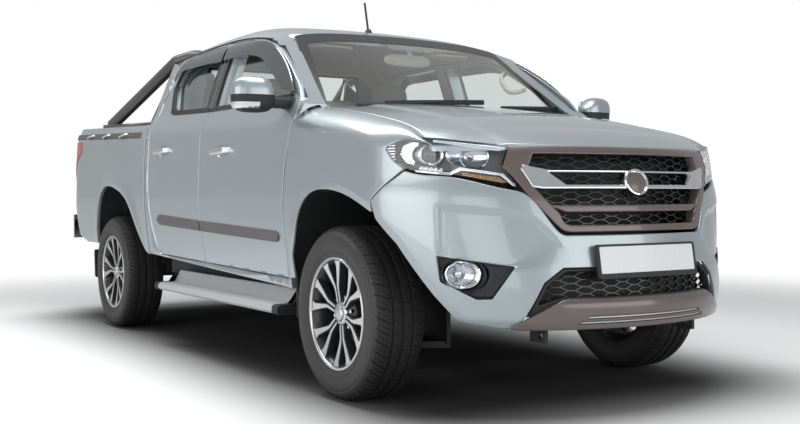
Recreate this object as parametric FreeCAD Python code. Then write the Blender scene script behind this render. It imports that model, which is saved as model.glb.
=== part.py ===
"""Double-cab pickup truck, in millimetres.

+X is forward, +Y the vehicle's left and +Z up. The origin is on the ground, at the middle of the
length and of the width. The left side is built and mirrored to the right.
"""
import FreeCAD
import Part
import math
import os

os.makedirs("parts", exist_ok=True)
V = FreeCAD.Vector
X_AXIS = V(1, 0, 0)
Y_AXIS = V(0, 1, 0)
Z_AXIS = V(0, 0, 1)

# Axles and wheels
wheelbase = 3135.0
front_axle_x = 1705.0
rear_axle_x = front_axle_x - wheelbase
wheel_centre_y = 784.0
tyre_radius = 368.0
tyre_width = 245.0
rim_lip_radius = 238.0
rim_width = 220.0
hub_bore_radius = 30.0
disc_radius = 148.0
kingpin_y = 680.0

# Body
half_width = 915.0
widest_z = 900.0
shoulder_z = 1185.0
belt_z = 1312.0
roof_top_z = 1800.0
roof_edge_top_z = 1702.0
rake = 0.03
rake_from_x = 1300.0
body_bow_x = 150.0
front_bow = 20.0
rear_bow = 6.0
tuck_under = 85.0
flare_height = 16.0
panel_gap = 7.0
seat_gap = 0.3
clearance = 6.0

# Nose
nose_start_x = 1955.0
nose_front_x = 2660.0
nose_lean_z = 480.0
bumper_rear_x = -2652.0
bumper_depth = 60.0
lamp_depth = 90.0

# Doors
door_skin = 20.0
door_depth = 100.0
door_box_inset = 38.0
jamb_inset = 24.0
jamb_depth = 108.0
swing_room = 16.0
swing_radius = 100.0
split_x = 195.0
sill_front_z = 484.0
sill_front_x = 1215.0
sill_rise = 0.023
cab_rear_x = -712.0
glass_thickness = 5.0

# Hood and fenders
hood_edge_y = 760.0
hood_rear_x = 1352.0
hood_thickness = 22.0
fender_thickness = 10.0
cowl_gap = 10.0

# Load bed
bed_front_x = -730.0
bed_rear_x = -2435.0
bed_floor_z = 860.0
bed_wall_y = 762.0
bed_rail_front_z = 1300.0
bed_rail_rise = 0.038
tailgate_thickness = 52.0
tailgate_bottom_z = 842.0

# Ladder frame
rail_y = 400.0
rail_width = 76.0
rail_bottom_z = 405.0
rail_height = 116.0
rear_rail_lift = 120.0
frame_front_x = 2440.0
frame_rear_x = -2440.0
tow_eye_x = 2464.0
tow_eye_z = 320.0
tow_eye_radius = 14.0
tow_eye_width = 16.0


def ramp(distance, softness):
    """A slope of one that starts at zero distance, rounded over the softness."""
    return (distance + math.hypot(distance, softness)) / 2


def smooth(t):
    """The smooth step from 0 to 1."""
    t = min(1.0, max(0.0, t))
    return t * t * (3 - 2 * t)


def flare(x, z):
    """How far the body side swells around the wheel arches."""
    swell = 0.0
    for axle_x, lift in ((front_axle_x, 0.0), (rear_axle_x + 60.0, 46.0)):
        reach = math.hypot(x - axle_x - 30.0, z - 430.0 - lift) - 470.0
        swell += 1 - smooth(reach / 90.0)
    return flare_height * swell


def side_y(x, z):
    """Half width of the body side at station x and height z."""
    bow = front_bow if x > body_bow_x else rear_bow
    width = half_width - bow * ((x - body_bow_x) / 1700.0) ** 2
    height = z - rake * (rake_from_x - x)
    inset = 0.05 * ramp(height - 950.0, 50.0) + 0.45 * ramp(height - shoulder_z, 18.0)
    inset -= 0.22 * ramp(height - belt_z, 12.0)
    inset += 0.00018 * max(0.0, height - belt_z) ** 2
    inset += tuck_under * (max(0.0, widest_z - z) / 600.0) ** 1.9
    return width - inset + flare(x, z)


def nose_x(z):
    """Station of the nose on the centreline at height z."""
    lean = 0.225 * ramp(z - nose_lean_z, 60.0) + 0.35 * ramp(z - 1045.0, 30.0)
    return nose_front_x - lean - 0.10 * ramp(nose_lean_z - 20.0 - z, 60.0)


def nose_point(angle, z, inset=0.0):
    """Point of the elliptic nose, with the angle measured from straight ahead."""
    width = side_y(nose_start_x, z) - inset
    length = nose_x(z) - nose_start_x - inset
    return V(nose_start_x + length * math.cos(angle), width * math.sin(angle), z)


def hood_line_z(x):
    """Height of the line between hood and fender at station x."""
    return 1272.0 - 0.105 * (x - 1300.0) - 6.0e-5 * max(0.0, x - 1300.0) ** 2 - 0.30 * ramp(x - 2235.0, 40.0)


def hood_z(x, y):
    """Height of the hood."""
    across = min(1.0, abs(y) / hood_edge_y)
    crown = 34.0 * (1 - across ** 2)
    crown += 8.0 * smooth((560.0 - abs(y)) / 60.0)
    edge = nose_plan_x(y, 1060.0)
    dive = 0.52 * ramp(x - edge + 120.0, 90.0)
    return hood_line_z(min(x, 2235.0)) + crown * smooth((2620.0 - x) / 500.0) - dive


def nose_plan_x(y, z):
    """Station of the nose surface at width y and height z."""
    share = min(0.999, abs(y) / side_y(nose_start_x, z))
    return nose_start_x + (nose_x(z) - nose_start_x) * math.sqrt(1 - share * share)


def roof_edge_z(x):
    """Height of the roof's side edge, just over the doors."""
    if x > 150.0:
        return roof_edge_top_z - 54.0 * ((x - 150.0) / 610.0) ** 2.2
    return roof_edge_top_z - 30.0 * ((150.0 - x) / 850.0) ** 2


def roof_edge_y(x):
    """Half width of the roof, where it meets the body side."""
    return side_y(x, roof_edge_z(x))


def roof_z(x, y):
    """Height of the roof: almost flat across, and rolled down to its side edges."""
    along = abs(x - 150.0) / 620.0
    middle = roof_top_z - (108.0 * along ** 2.4 if x > 150.0 else 46.0 * (abs(x - 150.0) / 850.0) ** 2)
    across = abs(y) / roof_edge_y(x)
    return middle - (middle - roof_edge_z(x)) * (0.3 * across ** 2 + 0.7 * across ** 8)


def windscreen_x(y, z):
    """Station of the windscreen at width y and height z."""
    rise = z - 1288.0
    bulge = (130.0 - 0.19 * rise) * (1 - (y / 700.0) ** 2)
    return 1254.0 - 1.22 * rise - 0.00018 * rise * rise + bulge


def steps(low, high, count):
    """Evenly spaced numbers from low to high."""
    return [low + (high - low) * i / (count - 1) for i in range(count)]


def grid_face(rows, columns, point):
    """Face through the points of a two-parameter grid."""
    surface = Part.BSplineSurface()
    surface.interpolate([[point(r, c) for c in columns] for r in rows])
    return surface.toShape()


def side_slab(x_values, z_values, outer, inner):
    """Slab that follows the body side, from one depth to another inside it."""
    face = grid_face(x_values, z_values, lambda x, z: V(x, side_y(x, z) - outer, z))
    return face.extrude(V(0, outer - inner, 0))


def outline_wire(points, place):
    """Closed wire. A point with a third entry True starts a curve that runs to the next such point."""
    edges = []
    spots = [place(p[0], p[1]) for p in points]
    smooth_run = []
    count = len(points)
    for i in range(count):
        here = points[i]
        following = points[(i + 1) % count]
        if not smooth_run:
            smooth_run = [spots[i]]
        smooth_run.append(spots[(i + 1) % count])
        if not (len(following) > 2 and following[2]):
            if len(smooth_run) == 2:
                edges.append(Part.LineSegment(smooth_run[0], smooth_run[1]).toShape())
            else:
                curve = Part.BSplineCurve()
                curve.interpolate(smooth_run)
                edges.append(curve.toShape())
            smooth_run = []
    return Part.Wire(edges)


def side_prism(points, low_y, high_y):
    """Prism along Y over an outline of (x, z) points."""
    wire = outline_wire(points, lambda x, z: V(x, low_y, z))
    return Part.Face(wire).extrude(V(0, high_y - low_y, 0))


def front_prism(points, low_x, high_x):
    """Prism along X over an outline of (y, z) points."""
    wire = outline_wire(points, lambda y, z: V(low_x, y, z))
    return Part.Face(wire).extrude(V(high_x - low_x, 0, 0))


def plan_prism(points, low_z, high_z):
    """Prism along Z over an outline of (x, y) points."""
    wire = outline_wire(points, lambda x, y: V(x, y, low_z))
    return Part.Face(wire).extrude(V(0, 0, high_z - low_z))


def box(low, high):
    """Box between two corners."""
    size = [h - l for l, h in zip(low, high)]
    return Part.makeBox(size[0], size[1], size[2], V(*low))


def rod(start, end, radius):
    """Round bar between two points."""
    a, b = V(*start), V(*end)
    return Part.makeCylinder(radius, (b - a).Length, a, b - a)


def tube_path(points, radius, bend):
    """Round tube along straight runs with rounded corners."""
    spots = [V(*p) for p in points]
    edges = []
    start = spots[0]
    for i in range(1, len(spots) - 1):
        back = (spots[i - 1] - spots[i]).normalize()
        ahead = (spots[i + 1] - spots[i]).normalize()
        half = back.getAngle(ahead) / 2
        cut = bend / math.tan(half)
        a = spots[i] + back * cut
        b = spots[i] + ahead * cut
        middle = spots[i] + (back + ahead).normalize() * (bend / math.sin(half) - bend)
        edges.append(Part.LineSegment(start, a).toShape())
        edges.append(Part.Arc(a, middle, b).toShape())
        start = b
    edges.append(Part.LineSegment(start, spots[-1]).toShape())
    path = Part.Wire(edges)
    circle = Part.Wire(Part.makeCircle(radius, spots[0], spots[1] - spots[0]))
    return path.makePipeShell([circle], True, False)


def mirrored(shape):
    """The same shape on the other side of the truck."""
    return shape.mirror(V(0, 0, 0), Y_AXIS)


def both_sides(shape):
    """The shape and its mirror image, apart."""
    return Part.makeCompound([shape, mirrored(shape)])


def join(shapes):
    """One solid from shapes that meet."""
    first = shapes[0]
    if len(shapes) > 1:
        first = first.fuse(shapes[1:])
    return first.removeSplitter()


written = {}


def write(name, shape):
    """Write one piece as a STEP file."""
    solids = shape.Solids
    whole = solids[0] if len(solids) == 1 else Part.makeCompound(solids)
    written[name] = whole
    whole.exportStep("parts/" + name + ".step")


def arch_outline(axle_x, shift_x, lift):
    """Wheel arch opening of one side, closed well below the body."""
    top = [(-445, 500), (-418, 600), (-372, 690, True), (-340, 780, True), (-264, 856, True),
           (-109, 891, True), (127, 861, True), (296, 800, True), (432, 675, True), (560, 482),
           (625, 390)]
    points = []
    for entry in top:
        spot = (axle_x + shift_x + entry[0], entry[1] + lift)
        points.append(spot + entry[2:])
    points.append((axle_x + shift_x + 640, 200))
    points.append((axle_x + shift_x - 460, 200))
    return points


front_arch = side_prism(arch_outline(front_axle_x, 0, 0), 300, 1200)
rear_arch_outline = arch_outline(rear_axle_x, 60, 46)
rear_arch = side_prism(rear_arch_outline, 300, 1200)


def sill_z(x):
    """Height of the lower edge of the doors."""
    return sill_front_z + sill_rise * (sill_front_x - x)


# Outlines of the doors and of their windows, grown outwards by a margin
def front_door_outline(grow):
    """Front door seen from the side."""
    return [(split_x - grow, sill_z(split_x) - grow), (sill_front_x + grow, sill_front_z - grow),
            (sill_front_x + grow, 760), (1226 + grow, 894, True), (1254 + grow, 1050, True),
            (1284 + grow, 1165, True), (1290 + grow, 1212, True), (1280 + grow, 1290 + grow, True),
            (1208 + 0.6 * grow, 1388 + grow), (960 + 0.5 * grow, 1548 + grow, True),
            (760 + 0.4 * grow, 1638 + grow, True), (560, 1674 + grow, True),
            (split_x - grow, 1690 + grow)]


def rear_door_outline(grow):
    """Rear door seen from the side."""
    return [(-500 - grow, sill_z(-500) - grow), (split_x + grow, sill_z(split_x) - grow),
            (split_x + grow, 1690 + grow), (-330, 1684 + grow), (-440 - 0.5 * grow, 1655 + grow, True),
            (-530 - grow, 1560 + 0.5 * grow, True), (-600 - grow, 1430, True),
            (-650 - grow, 1260), (-650 - grow, 900), (-625 - grow, 760, True), (-560 - grow, 600, True)]


def front_window_outline(grow):
    """Glass opening of the front door."""
    return [(262 - grow, 1336 - grow), (1165 + 2.0 * grow, 1334 - grow), (1120 + grow, 1378 + grow),
            (900 + 0.5 * grow, 1510 + grow, True), (740 + 0.4 * grow, 1590 + grow, True),
            (560, 1624 + grow, True), (262 - grow, 1638 + grow)]


def rear_window_outline(grow):
    """Glass opening of the rear door."""
    return [(-395 - grow, 1372 - grow), (-330, 1358 - grow), (140 + grow, 1342 - grow),
            (140 + grow, 1640 + grow), (-350, 1638 + grow), (-440 - grow, 1600 + grow, True),
            (-480 - grow, 1520)]


half_gap = panel_gap / 2
door_x = steps(-760, 1420, 24)
door_z = steps(420, 1760, 30)
skin_slab = side_slab(door_x, door_z, 0, door_skin)
box_slab = side_slab(door_x, door_z, door_skin - 1, door_depth)
glass_slab = side_slab(door_x, door_z, 26, 26 + glass_thickness)
mid_slab = side_slab(door_x, door_z, 8, 70)

hinge_front_x = sill_front_x - half_gap - 8.0
hinge_rear_x = split_x - half_gap - 8.0
hinge_front_y = side_y(hinge_front_x, widest_z) - 3.0
hinge_rear_y = side_y(hinge_rear_x, widest_z) - 3.0
striker_z = 980.0
striker_radius = 6.0
striker_depth = 62.0


def striker(jamb_x, seat=0.0):
    """Round striker on the rear jamb, or the slot for it with the seat's clearance added."""
    y = side_y(jamb_x, striker_z) - striker_depth
    if seat == 0.0:
        return rod((jamb_x - 12, y, striker_z), (jamb_x + 30, y, striker_z), striker_radius)
    half = striker_radius + seat
    return box((jamb_x, y - 80, striker_z - half), (jamb_x + 42, y + half + 2, striker_z + half))


front_jamb_x = split_x + jamb_inset
rear_jamb_x = -650.0 + jamb_inset


def handle(centre_x, centre_z):
    """Pull handle with its two feet, proud of the door skin."""
    y = side_y(centre_x, centre_z)
    grip = box((centre_x - 122, y + 22, centre_z - 16), (centre_x + 122, y + 40, centre_z + 16))
    grip = grip.makeFillet(8.0, grip.Edges)
    feet = [box((centre_x + d - 16, y - 8, centre_z - 12), (centre_x + d + 16, y + 30, centre_z + 12))
            for d in (-92, 92)]
    return grip.fuse(feet)


def rub_strip(low_x, high_x, low_z, high_z):
    """Protective strip along the door."""
    slab = side_slab(steps(low_x, high_x, 6), steps(560, 820, 6), -10, 4)
    half = 27.0
    outline = [(low_x + 6, low_z - half), (high_x - 6, high_z - half), (high_x - 6, high_z + half),
               (low_x + 6, low_z + half)]
    return slab.common(side_prism(outline, 700, 1000))


def door(outline, window, jamb_x, strip, grip):
    """Door of one skin with a deeper inner box, a window opening, a striker slot, strip and handle."""
    skin = skin_slab.common(side_prism(outline(-half_gap), 500, 1100))
    inner = box_slab.common(side_prism(outline(-half_gap - door_box_inset), 500, 1100))
    leaf = skin.fuse(inner)
    leaf = leaf.cut([side_prism(window(0), 500, 1100), striker(jamb_x, seat_gap)])
    leaf = leaf.fuse([strip, grip])
    return leaf.removeSplitter()


front_strip = rub_strip(split_x + 12, 1160, 705, 672)
rear_strip = rub_strip(-500, split_x - 12, 733, 705)
door_fl = door(front_door_outline, front_window_outline, front_jamb_x, front_strip, handle(500, 1093))
door_rl = door(rear_door_outline, rear_window_outline, rear_jamb_x, rear_strip, handle(-396, 1127))
glass_fl = glass_slab.common(side_prism(front_window_outline(-seat_gap), 500, 1100))
glass_rl = glass_slab.common(side_prism(rear_window_outline(-seat_gap), 500, 1100))
door_pieces = {"door_f": door_fl, "door_r": door_rl, "door_glass_f": glass_fl, "door_glass_r": glass_rl}
for name, left in door_pieces.items():
    write(name + "l", left)
    write(name + "r", mirrored(left))

# Door mirrors on a short arm at the front corner of the side window
mirror_shell = plan_prism([(1120, 935), (1190, 930, True), (1245, 990, True), (1240, 1090, True),
                           (1150, 1118)], 1262, 1402)
mirror_arm = plan_prism([(1130, side_y(1150, 1300) + 3), (1215, side_y(1215, 1300) + 3), (1200, 960), (1140, 960)],
                        1276, 1316)
mirror = join([mirror_shell, mirror_arm])
foot_slab = side_slab(steps(1080, 1260, 6), steps(1240, 1340, 5), -8, -seat_gap)
mirror_foot = foot_slab.common(box((1125, 700, 1272), (1225, 1000, 1322)))
mirror = join([mirror, mirror_foot])
mirror = mirror.cut(side_slab(door_x, door_z, -seat_gap, 300))
mirror = max(mirror.Solids, key=lambda s: s.Volume)
write("mirror_l", mirror)
write("mirror_r", mirrored(mirror))

# Cab shell: side frames with pillars and sills, roof, rear wall, floor and firewall
frame_full = side_slab(door_x, door_z, 0, jamb_depth)
side_outline = [(cab_rear_x, 520), (1242, 440), (1242, 1190), (1330, 1200), (1330, 1280),
                (1262, 1320), (1040, 1480, True), (800, 1640, True), (700, 1700), (700, 1790),
                (-640, 1790), (-650, 1690), (cab_rear_x, 1330)]
side_frame = frame_full.common(side_prism(side_outline, 500, 1100))

roof_x = steps(-680, 800, 14)
roof_share = [0.3, 0.55, 0.72, 0.83, 0.9, 0.95, 1.0, 1.04]
roof_across = [-u for u in reversed(roof_share)] + [0.0] + roof_share


def roof_point(x, across, lift=0.0):
    """Point of the roof at a share of its half width."""
    y = across * roof_edge_y(x)
    return V(x, y, roof_z(x, y) + lift)


roof_face = grid_face(roof_x, roof_across, roof_point)
roof_slab = roof_face.extrude(V(0, 0, -30))
roof_outline = [(-655, -760), (-655, 760), (700, 760), (712, 700, True), (752, 560, True), (790, 300, True),
                (800, 0, True), (790, -300, True), (752, -560, True), (712, -700, True), (700, -760)]
roof_slab = roof_slab.common(plan_prism(roof_outline, 1500, 1900))
roof_side_space = side_slab(steps(-760, 860, 20), steps(1480, 1800, 12), -90, 12)
roof_slab = roof_slab.cut([roof_side_space, mirrored(roof_side_space)])
above_roof = roof_face.extrude(V(0, 0, 200))
side_frame = side_frame.cut(above_roof)

floor_z = 540.0
floor = box((cab_rear_x + 8, -790, floor_z), (1240, 790, floor_z + 40))
tunnel = box((-100, -150, floor_z), (1240, 150, floor_z + 130))
tunnel_void = box((-110, -126, floor_z - 5), (1250, 126, floor_z + 106))
firewall = box((1200, -760, floor_z), (1240, 760, 1240)).fuse(box((1200, -815, floor_z), (1240, 815, 790)))
lower_rear_wall = box((cab_rear_x, -800, floor_z - 10), (cab_rear_x + 40, 800, 1345))
upper_rear_wall = side_prism([(cab_rear_x, 1340), (cab_rear_x + 40, 1340), (-605, 1760), (-648, 1760)], -700, 700)
rear_window = front_prism([(-560, 1372), (560, 1372), (530, 1660), (-530, 1660)], -800, -500)
upper_rear_wall = upper_rear_wall.cut(rear_window).cut(above_roof)
walls = [floor, tunnel, firewall, lower_rear_wall, upper_rear_wall]
cab = join([side_frame, mirrored(side_frame), roof_slab] + walls)
cab = cab.cut(tunnel_void)
skin_space = side_slab(door_x, door_z, -90, door_skin + swing_room)
box_space = side_slab(door_x, door_z, door_skin, jamb_depth + 3 * clearance)
door_space = []
for outline in (front_door_outline, rear_door_outline):
    door_space.append(skin_space.common(side_prism(outline(half_gap), 500, 1100)))
    door_space.append(box_space.common(side_prism(outline(-jamb_inset), 500, 1100)))
door_space.append(rod((hinge_front_x, hinge_front_y, 800), (hinge_front_x, hinge_front_y, 1330), swing_radius))
cab = cab.cut(door_space + [mirrored(space) for space in door_space])

# Windscreen between the pillars and the rear window in its opening
screen_y = steps(-760, 760, 13)
screen_z = steps(1262, 1740, 11)
screen_face = grid_face(screen_y, screen_z, lambda y, z: V(windscreen_x(y, z), y, z))
windscreen = screen_face.extrude(V(-7, 0, 0))
pillar_space = side_slab(door_x, door_z, -60, jamb_depth + seat_gap)
windscreen = windscreen.cut([pillar_space, mirrored(pillar_space)])
roof_space = grid_face(steps(560, 900, 8), roof_across, lambda x, u: roof_point(x, u, 20)).extrude(V(0, 0, -50.3))
windscreen = windscreen.cut(roof_space)
windscreen = max(windscreen.Solids, key=lambda s: s.Volume)
rear_pane = side_prism([(cab_rear_x + 14, 1340), (cab_rear_x + 20, 1340), (-620, 1760), (-626, 1760)], -700, 700)
pane_hole = front_prism([(-560 + seat_gap, 1372 + seat_gap), (560 - seat_gap, 1372 + seat_gap),
                         (530 - seat_gap, 1660 - seat_gap), (-530 + seat_gap, 1660 - seat_gap)], -800, -500)
rear_pane = rear_pane.common(pane_hole)
write("fixed_glass", Part.makeCompound([windscreen, rear_pane]))

# Cowl panel under the windscreen, with the two wipers
cowl_face = grid_face(steps(1258, 1420, 6), steps(-700, 700, 11), lambda x, y: V(x, y, hood_z(1352, y) - 12))
cowl_outline = [(1244, -700), (1244, 700), (hood_rear_x - cowl_gap, 700), (hood_rear_x - cowl_gap + 50, 400, True),
                (hood_rear_x - cowl_gap + 60, 0, True), (hood_rear_x - cowl_gap + 50, -400, True),
                (hood_rear_x - cowl_gap, -700)]
cowl = plan_prism(cowl_outline, 1205, 1262)
cowl = cowl.cut(screen_face.extrude(V(-260, 0, 0)).common(box((900, -800, 1262), (1500, 800, 1500))))
cowl = cowl.cut(plan_prism([(1330, -701), (1330, 701), (1500, 701), (1500, -701)], 1250, 1300))
write("cowl_panel", cowl)

# Front fenders
roll_points = steps(0, 1, 8)


def fender_point(x, v):
    """Fender surface: the body side below, and a rolled shoulder up to the hood line above."""
    line_z = hood_line_z(x)
    start_z = line_z - 120.0
    start_y = nose_side_y(x, start_z)
    if v <= 1:
        z = 470.0 + (start_z - 470.0) * v
        return V(x, nose_side_y(x, z), z)
    t = v - 1
    slope = (nose_side_y(x, start_z) - nose_side_y(x, start_z - 20)) / 20.0
    p1 = (start_y + slope * 70.0, start_z + 70.0)
    edge_y = min(hood_edge_y, start_y - 40.0)
    p2 = (edge_y + 55.0, line_z - 3.0)
    weights = ((1 - t) ** 3, 3 * t * (1 - t) ** 2, 3 * t * t * (1 - t), t ** 3)
    spots = ((start_y, start_z), p1, p2, (edge_y, line_z))
    y = sum(w * s[0] for w, s in zip(weights, spots))
    z = sum(w * s[1] for w, s in zip(weights, spots))
    return V(x, y, z)


def nose_side_y(x, z):
    """Half width of the body at x, with the rounding of the nose ahead of its start."""
    width = side_y(min(x, nose_start_x), z)
    if x <= nose_start_x:
        return width
    share = (x - nose_start_x) / (nose_x(z) - nose_start_x)
    return width * math.sqrt(max(0.02, 1 - share * share))


fender_x = steps(1225, 2290, 22)
fender_v = steps(0, 1, 12) + [1 + t for t in roll_points[1:]]
fender_face = grid_face(fender_x, fender_v, fender_point)
fender = fender_face.extrude(V(0, -fender_thickness, -fender_thickness))
bumper_seam = [(2014, 700), (2014, 845), (2075, 900), (2160, 965)]
fender_front = [(1100, 488), (1300, 488), (1300, 700)] + bumper_seam
fender_front += [(2104, 1005), (2072, 1050), (2150, 1094), (2290, 1110), (2290, 1400), (1100, 1400)]
fender = fender.common(side_prism(fender_front, 500, 1100))
fender = fender.cut([front_arch, side_prism(front_door_outline(half_gap), 500, 1100)])
fender = fender.common(box((1000, hood_edge_y, 300), (2400, 1000, 1400)))
fender = max(fender.Solids, key=lambda s: s.Volume)
write("front_fenders", both_sides(fender))

# The cab's front corners are set back under the fenders, and the door strikers stand on its jambs
fender_space = fender_face.extrude(V(0, -fender_thickness - seat_gap - 8, -fender_thickness - seat_gap - 8))
fender_space.translate(V(0, 8, 8))
fender_space = fender_space.common(box((sill_front_x + half_gap - seat_gap, 500, 400), (1500, 1100, 1500)))
cab = cab.cut([fender_space, mirrored(fender_space)])
cab = max(cab.Solids, key=lambda s: s.Volume)
strikers = [striker(front_jamb_x), striker(rear_jamb_x)]
cab = cab.fuse(strikers + [mirrored(s) for s in strikers])
write("cab_shell", cab)

# Hood
hood_x = steps(1300, 2520, 20)
hood_y = steps(-770, 770, 23)
hood_face = grid_face(hood_x, hood_y, lambda x, y: V(x, y, hood_z(x, y)))
hood = hood_face.extrude(V(0, 0, -hood_thickness))
hood_side_y = hood_edge_y - panel_gap
hood_outline = [(hood_rear_x, -hood_side_y), (hood_rear_x + 50, -400, True), (hood_rear_x + 60, 0, True),
                (hood_rear_x + 50, 400, True), (hood_rear_x, hood_side_y), (2235, hood_side_y)]
front_edge = [(nose_plan_x(y, 1060.0) - 8, y, True) for y in steps(700, -700, 9)]
hood_outline += front_edge + [(2235, -hood_side_y)]
hood = hood.common(plan_prism(hood_outline, 900, 1500))
write("hood", hood)

# Nose shell, from which bumper, grille frame and lamps are cut
nose_angles = [math.radians(a) for a in steps(-88, 88, 25)]
nose_z = steps(340, 1130, 17)


def nose_block(inset):
    """Solid behind the nose surface, set back by the inset."""
    face = grid_face(nose_angles, nose_z, lambda a, z: nose_point(a, z, inset))
    return face.extrude(V(-900, 0, 0))


outer_nose = nose_block(0)
bumper_shell = outer_nose.cut(nose_block(bumper_depth))
lamp_shell = outer_nose.cut(nose_block(lamp_depth))
grille_outline = [(-518, 1050), (518, 1050), (556, 972), (500, 896), (378, 733), (315, 718), (-315, 718),
                  (-378, 733), (-500, 896), (-556, 972)]
lamp_outline = [(528, 1052), (566, 972), (512, 896), (530, 889), (714, 938), (800, 950), (846, 962),
                (873, 1003), (884, 1044), (846, 1086), (790, 1094), (726, 1082)]
fog_outline = [(772, 632), (760, 534), (664, 468), (619, 470), (546, 592)]
bumper_low = [(-900, 376), (-560, 357), (560, 357), (900, 376)]
bumper_zone = [(-1000, 376), (-560, 357), (560, 357), (1000, 376), (1000, 842), (905, 842), (845, 952),
               (800, 942), (714, 930), (530, 880), (508, 880), (382, 724), (315, 708), (-315, 708), (-382, 724),
               (-508, 880), (-530, 880), (-714, 930), (-800, 942), (-845, 952), (-905, 842), (-1000, 842)]
lower_zone = [(-378, 586), (378, 586), (452, 531), (500, 431), (545, 340), (-545, 340), (-500, 431), (-452, 531)]
ahead = box((nose_start_x + 45, -1000, 300), (2700, 1000, 1150))
bumper = bumper_shell.common(front_prism(bumper_zone, 1900, 2700)).common(ahead)
bumper = bumper.cut([front_arch, mirrored(front_arch), front_prism(lower_zone, 1900, 2700)])
for outline in (fog_outline, [(-y, z) for y, z in fog_outline]):
    bumper = bumper.cut(front_prism(outline, 1900, 2700))
seam_space = side_prism([(1800, 700)] + [(x + 4, z - 3) for x, z in bumper_seam] + [(2200, 1100), (1800, 1100)],
                        500, 1100)
bumper = bumper.cut([seam_space, mirrored(seam_space)])
bumper = max(bumper.Solids, key=lambda s: s.Volume)
bumper_arms = [box((frame_front_x + seat_gap, s * rail_y - 30, 600), (2560, s * rail_y + 30, 660))
               for s in (1, -1)]
arm_feet = [box((frame_front_x + seat_gap, s * rail_y - 30, 440), (frame_front_x + 20, s * rail_y + 30, 650))
            for s in (1, -1)]
write("front_bumper", join([bumper] + bumper_arms + arm_feet))


def shrunk(points, margin):
    """Outline moved towards its middle by about a margin."""
    middle = [sum(p[i] for p in points) / len(points) for i in (0, 1)]
    result = []
    for p in points:
        away = [p[0] - middle[0], p[1] - middle[1]]
        length = math.hypot(*away)
        result.append((p[0] - away[0] / length * margin, p[1] - away[1] / length * margin))
    return result


# Headlamps and round fog lamps in their bezels
lamp = lamp_shell.common(front_prism(shrunk(lamp_outline, 3), 1900, 2700))
lamp = lamp.common(box((nose_start_x + 90, 0, 300), (2700, 1000, 1150)))
hood_space = hood_face.extrude(V(0, 0, 160))
hood_space.translate(V(0, 0, -hood_thickness - clearance))
hood_space = hood_space.common(box((1900, -hood_edge_y, 900), (2700, hood_edge_y, 1400)))
lamp = lamp.cut([hood_space, fender])
lamp = max(lamp.Solids, key=lambda s: s.Volume)
panel_x = 2330.0
lamp = lamp.fuse(box((2310, 455 + seat_gap, 965), (2345, 600, 1000)))
fog_bezel = bumper_shell.common(front_prism(shrunk(fog_outline, 1), 2000, 2700))
fog_recess = rod((2200, 692, 561), (2460, 692, 561), 50 + seat_gap)
fog_bezel = max(fog_bezel.Solids, key=lambda s: s.Volume)
fog_lamp = nose_block(12).common(rod((2290, 692, 561), (2460, 692, 561), 50))
fog_bezel = fog_bezel.cut(fog_recess)
write("front_lamps", Part.makeCompound([lamp, mirrored(lamp), fog_lamp, mirrored(fog_lamp)] +
                                       [fog_bezel, mirrored(fog_bezel)]))

# Grille: frame, two bars and a honeycomb mesh behind them
grille_shell = outer_nose.cut(nose_block(46))
grille_frame = grille_shell.common(front_prism(shrunk(grille_outline, 2), 2100, 2700))
grille_hole = shrunk(grille_outline, 58)
grille_frame = grille_frame.cut(front_prism(grille_hole, 2000, 2800))
bars = []
for low, high in ((905, 945), (820, 850)):
    zone = front_prism([(-600, low), (600, low), (600, high), (-600, high)], 2000, 2800)
    bars.append(grille_shell.common(zone).common(front_prism(shrunk(grille_outline, 30), 2000, 2800)))
mesh_depth = 34.0
mesh_thickness = 5.0
cell_tip = 34.0
cell_flat = 14.0
cell_height = 27.0
cell_web = 2.0
cells = []
for i in range(-11, 12):
    for j in range(0, 12):
        y = i * (cell_tip + cell_flat)
        z = 730.0 + (j + 0.5 * (i % 2)) * cell_height
        if abs(y) > 380 + 0.75 * (z - 733) - 20:
            continue
        tip = cell_tip - 1.5 * cell_web
        flat = cell_flat - 0.5 * cell_web
        rise = cell_height / 2 - cell_web
        cells.append([(y - tip, z), (y - flat, z - rise), (y + flat, z - rise), (y + tip, z), (y + flat, z + rise),
                      (y - flat, z + rise)])
mesh_sheet = nose_block(mesh_depth).cut(nose_block(mesh_depth + mesh_thickness))
mesh_sheet = mesh_sheet.common(front_prism(shrunk(grille_outline, 45), 2100, 2700))
mesh_sheet = mesh_sheet.cut([front_prism(cell, 2100, 2700) for cell in cells])
grille = join([grille_frame] + bars + [mesh_sheet])
grille = grille.cut(hood_space)
grille_ties = [box((panel_x + seat_gap, s * 420 - 15, 905), (2470, s * 420 + 15, 940)) for s in (1, -1)]
panel_ears = [box((2300, s * 420 - 15, 900), (panel_x, s * 420 + 15, 970)) for s in (1, -1)]
grille = join([grille] + grille_ties)
grille = max(grille.Solids, key=lambda s: s.Volume)
write("grille", grille)

# Lower guard: dark insert around the lower grille, with the plate holder
guard_zone = shrunk(lower_zone, 0.4)
guard = bumper_shell.common(front_prism(guard_zone, 2100, 2700))
guard = guard.cut(box((2200, -330, 490), (2800, 330, 545)))
write("bumper_guard", guard)
plate = box((nose_x(562) + seat_gap, -250, 562), (nose_x(562) + 5, 250, 670))
write("number_plate", plate)

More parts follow.
